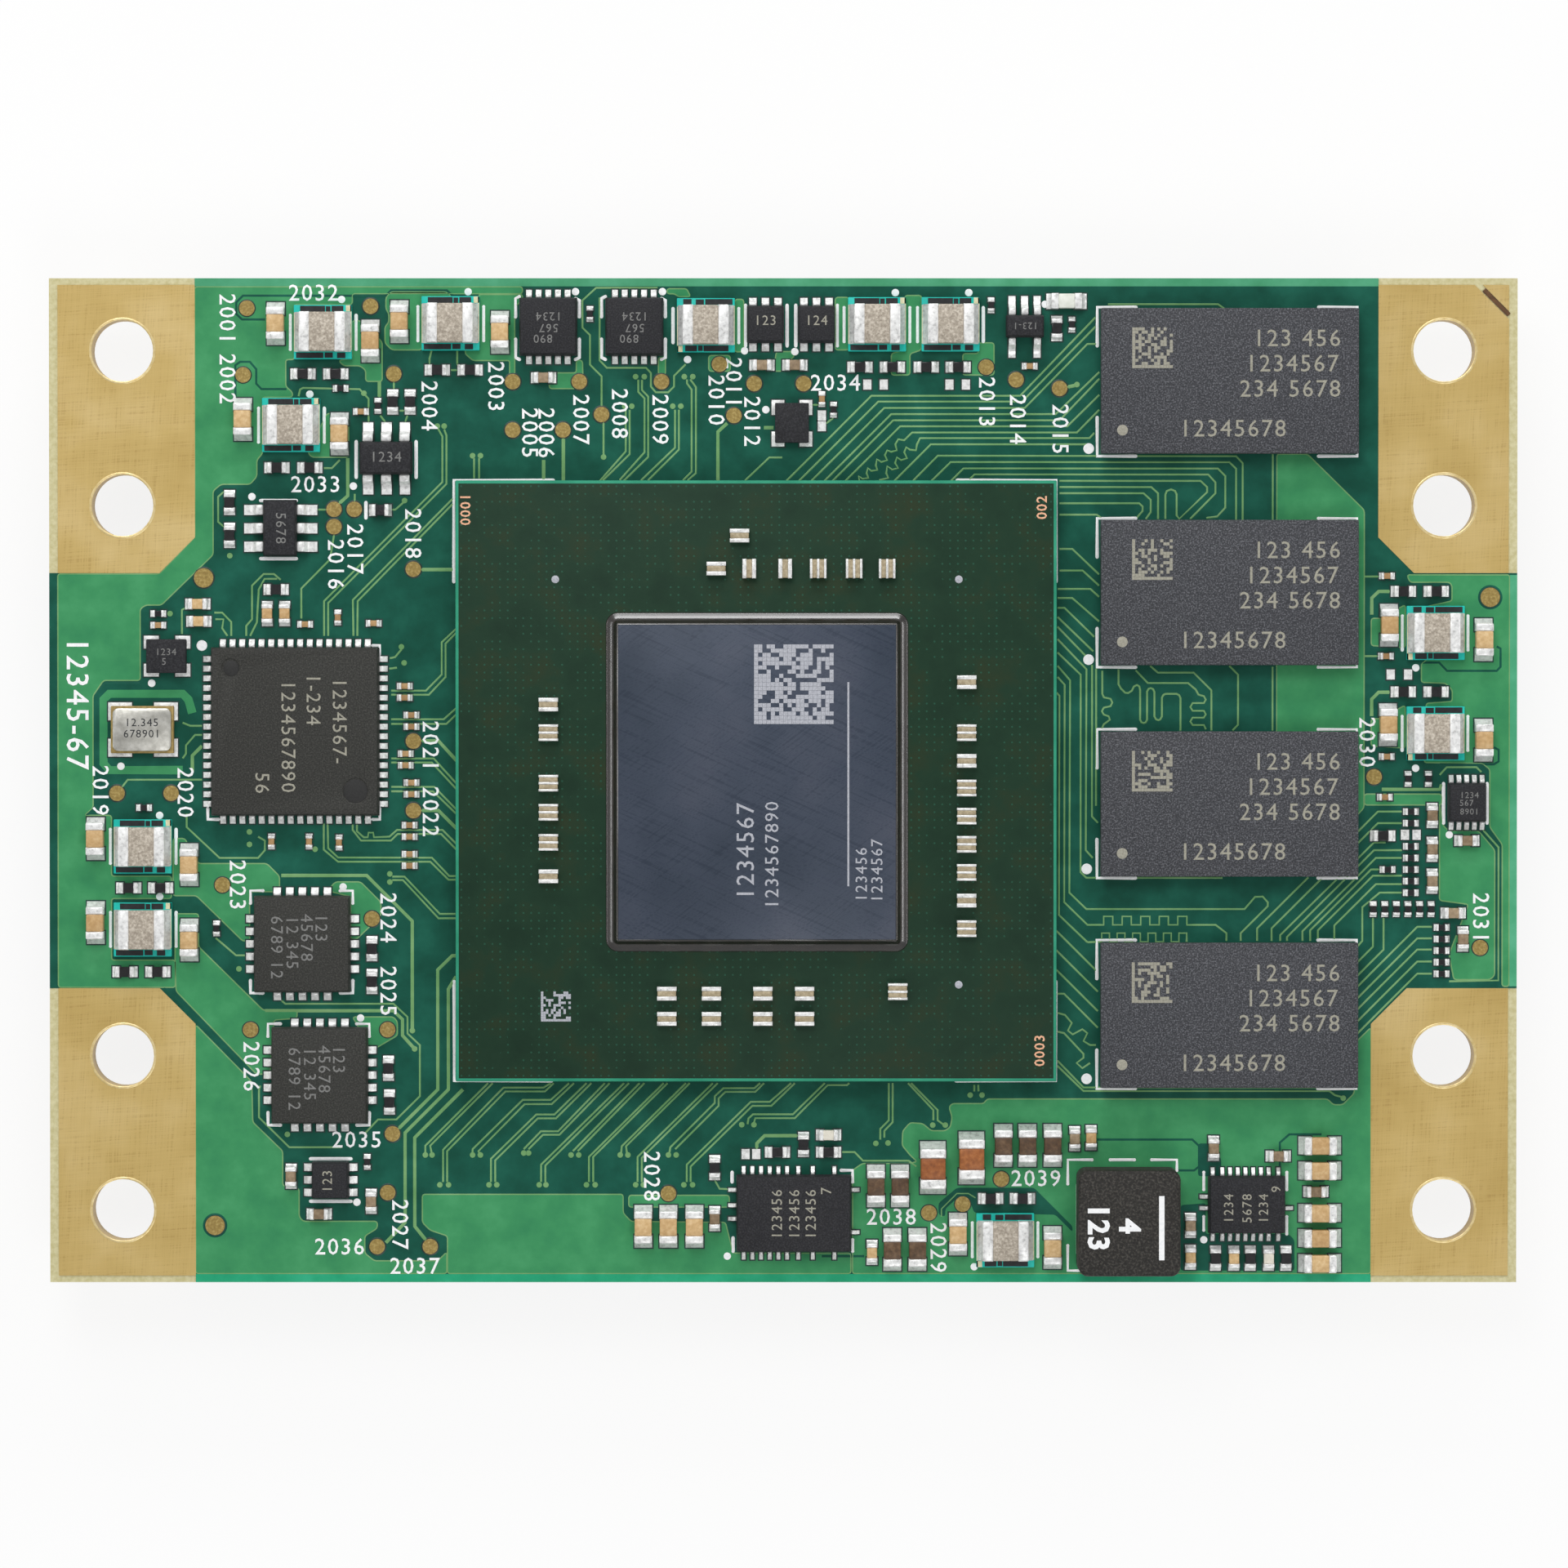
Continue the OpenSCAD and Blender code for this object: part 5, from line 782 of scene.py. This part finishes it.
        [(3.42, -15.67), (3.3, -15.77), (2.3, -15.77), (0.6, -17.49), (-1.45, -17.49), (-1.52, -17.75)],
        [(-3.55, -20.7), (-3.3, -21.15), (-2.8, -21.18)],
        [(5.47, -15.67), (5.47, -17.6), (5.03, -18.05), (5.03, -18.6)],
        [(5.67, -15.67), (5.67, -17.7), (5.24, -18.15), (5.24, -18.5)],
        [(6.47, -15.67), (7.78, -17.07), (7.78, -17.6)],
        [(6.63, -15.67), (8, -17.07), (8, -17.6), (8.35, -17.85)],
        [(9.9, -15.76), (9.9, -16.1)], [(10.1, -15.76), (10.12, -16.1)],
        [(3.04, -19.25), (3.7, -19.25), (4.13, -19.7), (6.5, -19.7), (6.9, -20)],
        [(8.2, -22.6), (8.2, -22.2), (9, -21.4), (9.6, -21.4), (9.96, -21.62)],
        [(36.2, -2.5), (37.05, -3.45), (37.05, -10.35), (34.5, -10.4)],
        [(34.0, 0.3), (34.36, 0.7), (35.9, 0.7), (36.15, 0.45)],
    ],
    0.18: [
        [(-20.9, 20.7), (-20.9, 19.85)], [(-22.54, 16.7), (-22.54, 14.75), (-23.1, 14.25)],
        [(-18.74, 10.93), (-17.1, 10.93)],
        [(-11.38, 17.72), (-11.38, 15.5)], [(-12.4, 16.6), (-12.4, 15.5)],
        [(-2.9, 18.5), (-3.38, 18.06), (-3.38, 15.5)],
        [(-1, 18.27), (-0.5, 18.27)], [(14.6, 20.35), (15.3, 20.5)], [(31, -0.45), (34, -0.45), (34.1, -0.2)],
        [(31.4, 9.8), (30.83, 9.8), (30.47, 9.46), (30.47, 8.6)],
        [(31.4, 4.58), (30.83, 4.58), (30.47, 4.22), (30.47, 3.35)],
        [(-30.6, 0.5), (-30.6, 1.3), (-30.1, 1.8)], [(-18.77, 2.07), (-17.86, 2.07), (-16.92, 1.04)],
        [(-18.77, -1.54), (-17.86, -1.54), (-16.92, -2.48)],
        [(-26, -4.91), (-21.58, -4.91), (-19.22, -7.27), (-19.22, -12.95)],
        [(-26.85, -11.92), (-20.2, -11.92), (-19.73, -12.37), (-19.73, -13.2), (-19.1, -13.9)],
        [(-16.92, -9.07), (-17.15, -9.07), (-17.9, -9.8), (-17.9, -16), (-20.1, -18.2)],
        [(-16.95, -10.15), (-17.35, -10.8), (-17.35, -16), (-19.6, -18.25), (-19.6, -22.9), (-20.6, -23.95)],
        [(-16.6, -16), (-19.1, -18.5), (-19.1, -23.1), (-18.5, -23.85)],
        [(-1.37, -19.2), (-1.37, -18.8), (-0.97, -18.4), (0.78, -18.4)],
    ],
}
# the square meanders above the lowest memory
for start, end, level, reach in [((14.2, 5.37), (22.96, -8.3), -7.47, -7.03)]:
    wave = [start, (14.57, 4.97), (14.55, -6.29), (15.76, level), (16.4, level)]
    for i in range(5):
        x = 16.6 + i * 0.96
        wave += [(x, level), (x, reach), (x + 0.47, reach), (x + 0.47, level)]
    tracks[0.1].append(wave + [(21.3, level), (22.4, level), (22.96, -7.9), end])
wave = [(15.76, -8.37), (16.4, -8.35)]
for i in range(6):
    x = 16.5 + i * 0.8
    wave += [(x, -8.35), (x, -7.9), (x + 0.4, -7.9), (x + 0.4, -8.35)]
tracks[0.1].append(wave)
vias = [
    (-21.7, 20.05), (-19.6, 14.5), (-28.65, 11.65), (-17.9, 18.35), (-17.55, 18.35), (-16.08, 16.82),
    (-15.67, 16.82), (-9.3, 16.75), (-7.84, 19.38), (-8.2, 19.38), (-7.64, 20.91), (-7.19, 20.91),
    (-5.72, 19.38), (-5.3, 19.38), (-5.12, 20.91), (-4.68, 20.91), (15.2, 20.5), (29.02, -16.45),
    (-31.75, 8.65), (-19.77, 6.93), (-19.63, 6.1), (-20.38, -4.83), (-20.38, -5.25), (-27.65, -2.65),
    (-27.65, -3.3), (-24.25, -3.55), (-28.2, -9.75), (-25.7, -18.33), (-19.22, -12.95), (-19.1, -13.9),
    (-2.15, -17.83), (-1.52, -17.83), (4.8, -18.8), (5.43, -18.78), (7.75, -17.85), (8.4, -17.85),
    (9.69, -16.29), (10.3, -16.29), (-18.55, -19.4), (-18.2, -19.4), (-16.1, -19.4), (-15.7, -19.4),
    (-13.45, -19.3), (-13.2, -19.3), (-11.0, -19.4), (-10.6, -19.4), (-8.45, -19.4), (-8.05, -19.4),
    (-5.95, -19.4), (-5.55, -19.4), (-17.8, -20.95), (-17.35, -20.95), (-15.25, -20.95), (-14.85, -20.95),
    (-12.65, -20.95), (-12.3, -20.95), (-10.2, -20.95), (-9.75, -20.95), (-7.65, -20.95), (-7.25, -20.95),
    (-5.15, -20.95), (-4.7, -20.95),
]

bm = bmesh.new()
rims = [field(bm, outline, 0.006, boardTop) for outline in copper["pours"]]
ribbons(bm, [copper["guard"]], 0.45, 0.006, boardTop)
addPiece("copper.pours", meshFrom(bm, "pours"), "pour", "solder_mask")
bm = bmesh.new()
ribbons(bm, copper["channels"], 0.2, 0.009, boardTop)
for outline in copper["pockets"]:
    field(bm, outline, 0.009, boardTop)
discs(bm, copper["marks"], 0.67, 0.009, boardTop, 32)
addPiece("copper.channels", meshFrom(bm, "channels"), "mask", "solder_mask")
bm = bmesh.new()
for width, paths in tracks.items():
    ribbons(bm, paths, width, 0.014, boardTop)
ribbons(bm, rims, 0.08, 0.01, boardTop, True)
discs(bm, vias, 0.15, 0.016, boardTop)
addPiece("copper.tracks", meshFrom(bm, "tracks"), "track", "solder_mask")
# the edge strips carry a painted highlight: lighter mask where the board's edge catches the light, one shade
# for each edge
edges = [("upper", "topBand", (-30.45, 25.58, 30.8, 26.0)),
         ("lower", "lowBand", (-30.45, -26.0, 30.45, -25.58)),
         ("right", "sideBand", (37.62, -10.65, 38.0, 10.65))]
for name, finish, box in edges:
    bm = bmesh.new()
    plate(bm, *box, 0.006, boardTop)
    addPiece("edge." + name, meshFrom(bm, name), finish, "solder_mask")
print("copper laid:", len(rims), "pours,", sum(len(paths) for paths in tracks.values()), "tracks")

# dark margins round the soldered ends, where the lacquer stops; their near-black colour is partly painted
# shade round each end
bm = bmesh.new()
opened = ("clock_chip_leads", "regulator_leads", "converter_leads", "switch_leads", "driver_leads",
          "transistor_leads", "diode_terminals", "capacitor_0805_terminals", "capacitor_0603_terminals",
          "capacitor_0402_terminals", "capacitor_0201_terminals", "resistor_0402_terminals",
          "resistor_0201_terminals", "oscillator_lands", "bare_lands")
margin = 0.07
for node in opened:
    part = mergedCopy(node)
    for group in islandsOf(part):
        low, high = boxOf(group)
        if high.z > boardTop:
            plate(bm, low.x / mm - margin, low.y / mm - margin,
                  high.x / mm + margin, high.y / mm + margin, 0.012, boardTop)
    part.free()
part = mergedCopy("test_pads")
for group in islandsOf(part):
    low, high = boxOf(group)
    middle = (low + high) / 2 / mm
    discs(bm, [(middle.x, middle.y)], (high.x - low.x) / 2 / mm + 0.08, 0.012, boardTop, 24)
part.free()
addPiece("mask.openings", meshFrom(bm, "openings"), "opening", "solder_mask")

# white legend
modules = [(-23.8, 23.2, 1), (-25.45, 18.4, 1), (-17.2, 23.65, 1), (-4, 23.55, -1), (4.85, 23.6, 1),
           (8.65, 23.6, 1), (33.75, 7.65, -1), (33.75, 2.45, -1), (-33.15, -3.4, 1), (-33.15, -7.7, 1),
           (11.5, -23.8, -1)]
legend = {
    "lines": [
        [(-13.65, 25.05), (-13.85, 24.95), (-13.85, 24.0)], [(-13.85, 22.85), (-13.85, 21.9), (-13.65, 21.8)],
        [(-10.75, 24.95), (-10.55, 24.85), (-10.55, 24.0)], [(-10.55, 22.85), (-10.55, 21.9), (-10.75, 21.8)],
        [(-9.2, 25.05), (-9.4, 24.95), (-9.4, 24.0)], [(-9.4, 22.85), (-9.4, 21.9), (-9.2, 21.8)],
        [(-6.3, 24.95), (-6.1, 24.85), (-6.1, 24.0)], [(-6.1, 22.85), (-6.1, 21.9), (-6.3, 21.8)],
        [(-1.95, 24.6), (-1.95, 22.5)], [(0.2, 24.6), (0.2, 22.5)], [(0.65, 24.6), (0.65, 22.5)],
        [(2.8, 24.6), (2.8, 22.5)],
        [(-24.5, -19.6), (-22.4, -19.6)], [(-24.5, -21.8), (-22.4, -21.8)],
        [(-27.05, 14.5), (-25.2, 14.5)], [(-27.05, 11.5), (-25.2, 11.5)], [(-22.1, 17.55), (-22.1, 15.7)],
        [(-19.0, 17.55), (-19.0, 15.7)],
        [(-27.6, -6.35), (-27.6, -5.7), (-26.95, -5.7)], [(-22.3, -6.35), (-22.3, -5.7), (-22.95, -5.7)],
        [(-27.6, -10.35), (-27.6, -11.0), (-26.95, -11.0)], [(-22.3, -10.35), (-22.3, -11.0),
         (-22.95, -11.0)],
        [(-26.7, -13.25), (-26.7, -12.6), (-26.05, -12.6)], [(-21.45, -13.25), (-21.45, -12.6),
         (-22.1, -12.6)],
        [(-26.7, -17.2), (-26.7, -17.85), (-26.05, -17.85)],
        [(-21.45, -17.2), (-21.45, -17.85), (-22.1, -17.85)],
        [(-20.9, 6.3), (-20.9, 7.0), (-21.6, 7.0)], [(-29.8, -1.3), (-29.8, -2.0), (-29.1, -2.0)],
        [(-20.9, -1.3), (-20.9, -2.0), (-21.6, -2.0)],
        [(34.2, -0.15), (34.2, -2.2)], [(36.45, -0.15), (36.45, -2.2)],
        [(-2.65, -20.3), (-2.65, -20.8)], [(-2.6, -23.7), (-2.6, -24.4)],
        [(3.0, -20.2), (3.6, -20.2), (3.6, -20.8)], [(3.6, -23.8), (3.6, -24.4)],
        [(21.8, -20.3), (21.8, -21.2)], [(21.8, -22.6), (21.8, -23.3)], [(26.1, -20.3), (26.1, -21.2)],
        [(26.1, -22.6), (26.1, -23.5)],
        [(14.75, -20.9), (14.75, -19.65), (16.0, -19.65)], [(16.95, -19.65), (18.2, -19.65)],
        [(19.1, -19.65), (20.4, -19.65), (20.4, -20.2)],
        [(14.75, -24.1), (14.75, -25.4), (15.6, -25.4)], [(-21.6, 14.4), (-21.6, 13.6)],
        [(-17.05, 10.3), (-17.05, 15.55), (-11.9, 15.55)], [(9.0, 15.55), (14.12, 15.55), (14.12, 10.3)],
        [(-17.05, -10.4), (-17.05, -15.55), (-12.0, -15.55)], [(8.95, -15.55), (14.12, -15.55),
         (14.12, -10.4)],
    ],
    "dots": [
        (-22.85, 24.9), (-24.5, 20.0), (-16.3, 25.3), (-4.95, 21.8), (5.8, 25.25), (9.6, 25.25),
        (32.75, 5.85), (32.75, 0.65), (-32.3, -1.8), (-32.3, -6.0), (9.9, -25.2), (-27.5, 14.7),
        (-22.25, 15.25), (-10.75, 25.3), (-6.25, 25.3), (-2.0, 22.25), (0.6, 22.2), (-22.8, -5.5),
        (-21.9, -12.3), (-22.1, -21.85), (-2.9, -24.65), (21.8, -23.8), (34.5, -2.8), (-34.3, 0.75),
        (-32.7, 5.05), (-0.9, 19.2), (13.55, 24.65),
    ],
    "largeDots": [(15.81, 17.19), (15.81, 6.27), (15.72, -4.57), (15.72, -15.45), (-30.1, 7.0)],
    "upright": [
        (-28.8, 23.9), (-28.8, 20.8), (-14.9, 20.4), (-18.35, 19.4), (-13.15, 18), (-12.3, 18), (-10.5, 18.7),
        (-8.5, 19), (-6.4, 18.7), (-3.5, 19.7), (-2.6, 20.6), (-1.65, 18.6), (10.5, 19.6), (12.1, 18.7),
        (14.3, 18.2), (-23.2, 11.2), (-22.2, 12), (-19.2, 12.8), (-35.4, -0.5), (-31, -0.6), (-18.3, 1.8),
        (-18.3, -1.6), (-28.3, -5.4), (-20.5, -7.1), (-20.5, -10.9), (-27.6, -14.8), (-19.9, -23),
        (-6.85, -20.5), (8, -24.2), (30.2, 2), (36.1, -7.1),
    ],
    "level": [(-24.3, 25.2), (-24.2, 15.3), (2.7, 20.55), (-22.1, -18.65), (-23, -24.2), (-19.1, -25.2),
        (5.6, -22.65), (13.1, -20.65)],
}
for x, y, side in modules:
    for end in (-1, 1):
        legend["lines"].append([(x + end * 1.7, y - 0.88), (x + end * 1.7, y + 0.88)])
memories = [(23.05, 20.65 - i * 10.92) for i in range(4)]
for x, y in memories:
    for sx in (-1, 1):
        for sy in (-1, 1):
            cornerX = x + (-6.8 if sx < 0 else 6.65)
            cornerY = y + sy * 3.85
            legend["lines"].append([(cornerX, cornerY - sy * 2), (cornerX, cornerY),
                (cornerX - sx * 2, cornerY)])
bm = bmesh.new()
ribbons(bm, legend["lines"], 0.18, 0.02, boardTop)
ends = [end for line in legend["lines"] for end in (line[0], line[-1])]
discs(bm, ends, 0.09, 0.018, boardTop, 8)
discs(bm, legend["dots"], 0.2, 0.02, boardTop, 14)
discs(bm, legend["largeDots"], 0.28, 0.02, boardTop, 18)
addPiece("legend.lines", meshFrom(bm, "lines"), "silk", "solder_mask")
bm = bmesh.new()
firstNumber = 2001
number = firstNumber
for places, turn in ((legend["upright"], -90), (legend["level"], 0)):
    for x, y in places:
        writing(bm, str(number), x, y, 1.2, turn, boardTop, 0.02, 0.005)
        number += 1
writing(bm, "12345-67", -36.6, 4.0, 1.62, -90, boardTop, 0.02, 0.01)
addPiece("legend.numbers", meshFrom(bm, "numbers"), "silk", "solder_mask")
print("legend printed:", number - firstNumber, "numbers")


# finer dressing of the parts
def topOf(node):
    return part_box(node)[1].z


def matrix(bm, x, y, side, count, seed, z, filled=0.45):
    # a plain block of chance cells with two full edges
    chance = random.Random(seed)
    cell = side / count
    for row in range(count):
        for column in range(count):
            if column == 0 or row == 0 or chance.random() < filled:
                plate(bm, x + column * cell, y + row * cell, x + (column + 0.96) * cell,
                    y + (row + 0.96) * cell, 0.006, z)


moduleInk = {
    "bars": [(-1.17, 1.05, 0.12, 1.35), (0.16, 1.05, 0.4, 1.33), (0.46, 1.05, 1.07, 1.35),
             (-1.38, -1.35, 0.03, -1.06), (0.1, -1.33, 0.52, -1.06), (0.74, -1.35, 1.17, -1.06)],
    "cream": [(1.42, -0.95, 1.49, 1.38), (1.2, 1.06, 1.49, 1.38), (-1.49, -1.0, -1.45, 1.0)],
}
level = topOf("module_boards")
for key, finish in (("bars", "black"), ("cream", "cream")):
    bm = bmesh.new()
    for x, y, side in modules:
        for x0, y0, x1, y1 in moduleInk[key]:
            left, right = sorted((x + side * x0, x + side * x1))
            lower, upper = sorted((y + side * y0, y + side * y1))
            plate(bm, left, lower, right, upper, 0.008, level)
    addPiece("module." + key, meshFrom(bm, key), finish, "module_board")

# memory marks
bm = bmesh.new()
level = topOf("memory_molds")
for number, (x, y) in enumerate(memories):
    for text, dx, dy, size in [("123 456", 3.45, 2.15, 1.25), ("1234567", 3.2, 0.85, 1.25),
        ("234 5678", 3.1, -0.45, 1.25), ("12345678", 0.15, -2.5, 1.25)]:
        writing(bm, text, x + dx, y + dy, size, 0, level, 0.006)
    matrix(bm, x - 5.05, y + 0.65, 2.1, 13, 40 + number, level)
    discs(bm, [(x - 5.55, y - 2.55)], 0.28, 0.006, level, 20)
addPiece("memory.marks", meshFrom(bm, "memory marks"), "mark", "mold_compound")

# die and carrier marks
bm = bmesh.new()
level = topOf("processor_die")
matrix(bm, -1.5, 2.95, 4.1, 19, 7, level, 0.62)
ribbons(bm, [[(3.35, 5.1), (3.35, -5.4)]], 0.1, 0.006, level)
for text, x, y, size in [("1234567", -1.9, -3.6, 1.3), ("1234567890", -0.55, -3.8, 1.0),
    ("123456", 4.05, -4.8, 0.85), ("1234567", 4.85, -4.6, 0.85)]:
    writing(bm, text, x, y, size, 90, level, 0.006)
level = topOf("processor_substrate")
discs(bm, [(-11.75, 10.4), (9.05, 10.4), (9.05, -10.5)], 0.2, 0.01, level, 16)
matrix(bm, -12.5, -12.4, 1.55, 12, 21, level)
addPiece("processor.marks", meshFrom(bm, "processor marks"), "dieMark", "silicon")
bm = bmesh.new()
for text, x, y, turn in [("0001", -16.35, 14.0, 90), ("002", 13.35, 14.1, 90), ("0003", 13.25, -13.9, 90)]:
    writing(bm, text, x, y, 0.75, turn, level, 0.008, 0.01)
addPiece("carrier.numbers", meshFrom(bm, "carrier numbers"), "copperInk", "package_substrate")

# faint and clear marks on the moulded parts
chipText = {
    "mark": [
        ("clock_chip_body", -90, 1.05, [("1234567-", -22.95, 3.1), ("1-234", -24.3, 4.2),
            ("1234567890", -25.6, 2.3), ("56", -26.95, -0.1)]),
        ("converter_bodies", 90, 0.78, [("123456", -0.3, -22.4), ("123456", 0.6, -22.4),
            ("123456", 1.45, -22.4), ("7", 2.25, -21.2)]),
        ("converter_bodies", 90, 0.7, [("1234", 23.05, -22.1), ("5678", 24.0, -22.1),
            ("1234", 24.85, -22.1), ("9", 25.5, -21.1)]),
        ("driver_bodies", 0, 0.72, [("123", -0.92, 23.75), ("124", 1.72, 23.75)]),
        ("driver_bodies", 90, 0.72, [("123", -23.55, -20.7)]),
    ],
    "faint": [
        ("regulator_bodies", -90, 0.9, [("123", -23.9, -7.6), ("45678", -24.65, -8.1),
            ("12 345", -25.4, -8.35), ("6789 12", -26.2, -8.6)]),
        ("regulator_bodies", -90, 0.9, [("123", -23.0, -14.4), ("45678", -23.75, -14.9),
            ("12 345", -24.5, -15.15), ("6789 12", -25.3, -15.4)]),
        ("switch_bodies", 180, 0.62, [("1234", -12.1, 24.0), ("567", -12.1, 23.4), ("890", -12.4, 22.85),
            ("1234", -7.65, 24.0), ("567", -7.65, 23.4), ("890", -7.95, 22.85)]),
        ("switch_bodies", 0, 0.45, [("1234", 35.45, -0.75), ("567", 35.3, -1.15), ("8901", 35.45, -1.6)]),
        ("transistor_bodies", 0, 0.75, [("1234", -20.5, 16.7)]),
        ("transistor_bodies", -90, 0.75, [("5678", -25.95, 13.05)]),
        ("transistor_bodies", 180, 0.5, [("123-1", 12.5, 23.5)]),
        ("oscillator_bodies", 0, 0.5, [("1234", -31.9, 6.65), ("5", -32.0, 6.15)]),
    ],
    "silk": [("power_inductor_body", -90, 1.5, [("123", 16.15, -22.9), ("4", 17.75, -22.85)])],
    "black": [("crystal_lid", 0, 0.58, [("12.345", -33.15, 3.0), ("678901", -33.15, 2.42)])],
}
for finish, rows in chipText.items():
    bm = bmesh.new()
    for node, turn, size, texts in rows:
        for text, x, y in texts:
            writing(bm, text, x, y, size, turn, topOf(node), 0.006, 0.05 if finish == "silk" else 0.0)
    if finish == "silk":
        ribbons(bm, [[(19.45, -21.3), (19.45, -24.6)]], 0.28, 0.008, topOf("power_inductor_body"))
    addPiece("marks." + finish, meshFrom(bm, finish), finish, "mold_compound")
bm = bmesh.new()
discs(bm, [(-28.5, 5.8)], 0.42, 0.012, topOf("clock_chip_body") - 0.06 * mm, 28)
discs(bm, [(-22.1, -0.55)], 0.63, 0.012, topOf("clock_chip_body") - 0.06 * mm, 28)
addPiece("marks.recess", meshFrom(bm, "recess"), "recess", "mold_compound")

# bright rings round the mounting holes: painted highlight where the lip of each hole catches the light
bm = bmesh.new()
level = topOf("corner_pads")
holeX, holeY, holeStep = 34.2, 22.25, 8
lipHighlightRadius = 1.66
turns = [math.radians(i * 10) for i in range(36)]
for sx in (-1, 1):
    for sy in (-1, 1):
        for step in (0, holeStep):
            x, y = sx * holeX, sy * (holeY - step)
            ring = [(x + lipHighlightRadius * math.cos(a), y + lipHighlightRadius * math.sin(a)) for a in turns]
            ribbons(bm, [ring], 0.13, 0.02, level, True)
addPiece("pads.lipHighlights", meshFrom(bm, "rims"), "rim", "gold_plating")
bm = bmesh.new()
ribbons(bm, [[(36.25, 25.4), (37.55, 24.1)]], 0.24, 0.012, level)
addPiece("pads.slit", meshFrom(bm, "slit"), "slit", "gold_plating")

# dark glaze reaching over the ends of the resistors
bm = bmesh.new()
for node, longer, shorter in (("resistor_0402_bodies", 0.52, 0.42), ("resistor_0201_bodies", 0.3, 0.25)):
    source = mergedCopy(node)
    top = topOf(node.replace("bodies", "terminals"))
    for group in islandsOf(source):
        first, last = (corner / mm for corner in boxOf(group))
        x, y = (first.x + last.x) / 2, (first.y + last.y) / 2
        wide = last.x - first.x > last.y - first.y
        dx, dy = (longer / 2, shorter / 2) if wide else (shorter / 2, longer / 2)
        plate(bm, x - dx, y - dy, x + dx, y + dy, 0.012, top - 0.004 * mm)
    source.free()
addPiece("resistor.glaze", meshFrom(bm, "glaze"), "glaze", "resistor_glaze")
print("marks and rims added")


# floor, light and camera
floorMesh = bpy.data.meshes.new("floor")
bm = bmesh.new()
bmesh.ops.create_grid(bm, x_segments=2, y_segments=2, size=1.5)
bm.to_mesh(floorMesh)
bm.free()
floor = bpy.data.objects.new("floor", floorMesh)
scene.collection.objects.link(floor)
floorFinish, tree, shader = startFinish("pale floor", 0.8)
mottle = noise(tree, objectPoint(tree), 60.0, 2.0)
tree.links.new(ramp(tree, mottle, [(0.3, "#f4f4f2"), (0.7, "#fbfbfa")]), shader.inputs["Base Color"])
glow = tree.nodes.new("ShaderNodeEmission")
path = tree.nodes.new("ShaderNodeLightPath")
seen = compute(tree, "MAXIMUM", path.outputs["Is Camera Ray"], path.outputs["Is Glossy Ray"])
share = compute(tree, "MULTIPLY", compute(tree, "MAXIMUM", seen, path.outputs["Is Transmission Ray"]), 0.85)
mixer = tree.nodes.new("ShaderNodeMixShader")
tree.links.new(share, mixer.inputs["Fac"])
tree.links.new(shader.outputs[0], mixer.inputs[1])
tree.links.new(glow.outputs[0], mixer.inputs[2])
tree.links.new(mixer.outputs[0], tree.nodes["Material Output"].inputs["Surface"])
floorMesh.materials.append(floorFinish)

world = bpy.data.worlds.new("studio")
scene.world = world
world.use_nodes = True
tree = world.node_tree
sky = tree.nodes["Background"]
coords = tree.nodes.new("ShaderNodeTexCoord")
split = tree.nodes.new("ShaderNodeSeparateXYZ")
tree.links.new(coords.outputs["Generated"], split.inputs[0])
skyStops = [(0.0, "#b4b4b4"), (0.3, "#c8c8c8"), (0.62, "#b4b5b7"), (0.95, "#c2c3c5")]
tree.links.new(ramp(tree, split.outputs["Z"], skyStops), sky.inputs["Color"])
sky.inputs["Strength"].default_value = 0.72

# each lamp: name, place, width and height in mm, power in W
lamps = [
    ("key", (-70, 190, 300), (150, 150), 0.36), ("fill", (60, -200, 300), (160, 160), 0.28),
    ("upper strip", (0, 300, 155), (320, 75), 0.42),
    ("left strip", (-300, 0, 125), (260, 24), 0.09), ("right strip", (300, 0, 125), (260, 24), 0.13),
]
for name, place, size, power in lamps:
    lamp = bpy.data.lights.new(name, "AREA")
    lamp.shape = "RECTANGLE"
    lamp.size = size[0] * mm
    lamp.size_y = size[1] * mm
    lamp.energy = power
    holder = bpy.data.objects.new(name, lamp)
    holder.location = [c * mm for c in place]
    holder.rotation_euler = (Vector((0, 0, 5 * mm)) - holder.location).to_track_quat("-Z", "Y").to_euler()
    scene.collection.objects.link(holder)

lens = bpy.data.cameras.new("camera")
lens.sensor_fit = "HORIZONTAL"
lens.angle = 2 * math.atan(40.6 / 350)
lens.clip_start = 0.01
camera = bpy.data.objects.new("camera", lens)
target = Vector((0.04 * mm, -0.17 * mm, boardTop))
camera.location = target + Vector((0, 5 * mm, 350 * mm))
camera.rotation_euler = (-math.atan2(5, 350), 0, 0)
scene.collection.objects.link(camera)
scene.camera = camera

print("scene ready")
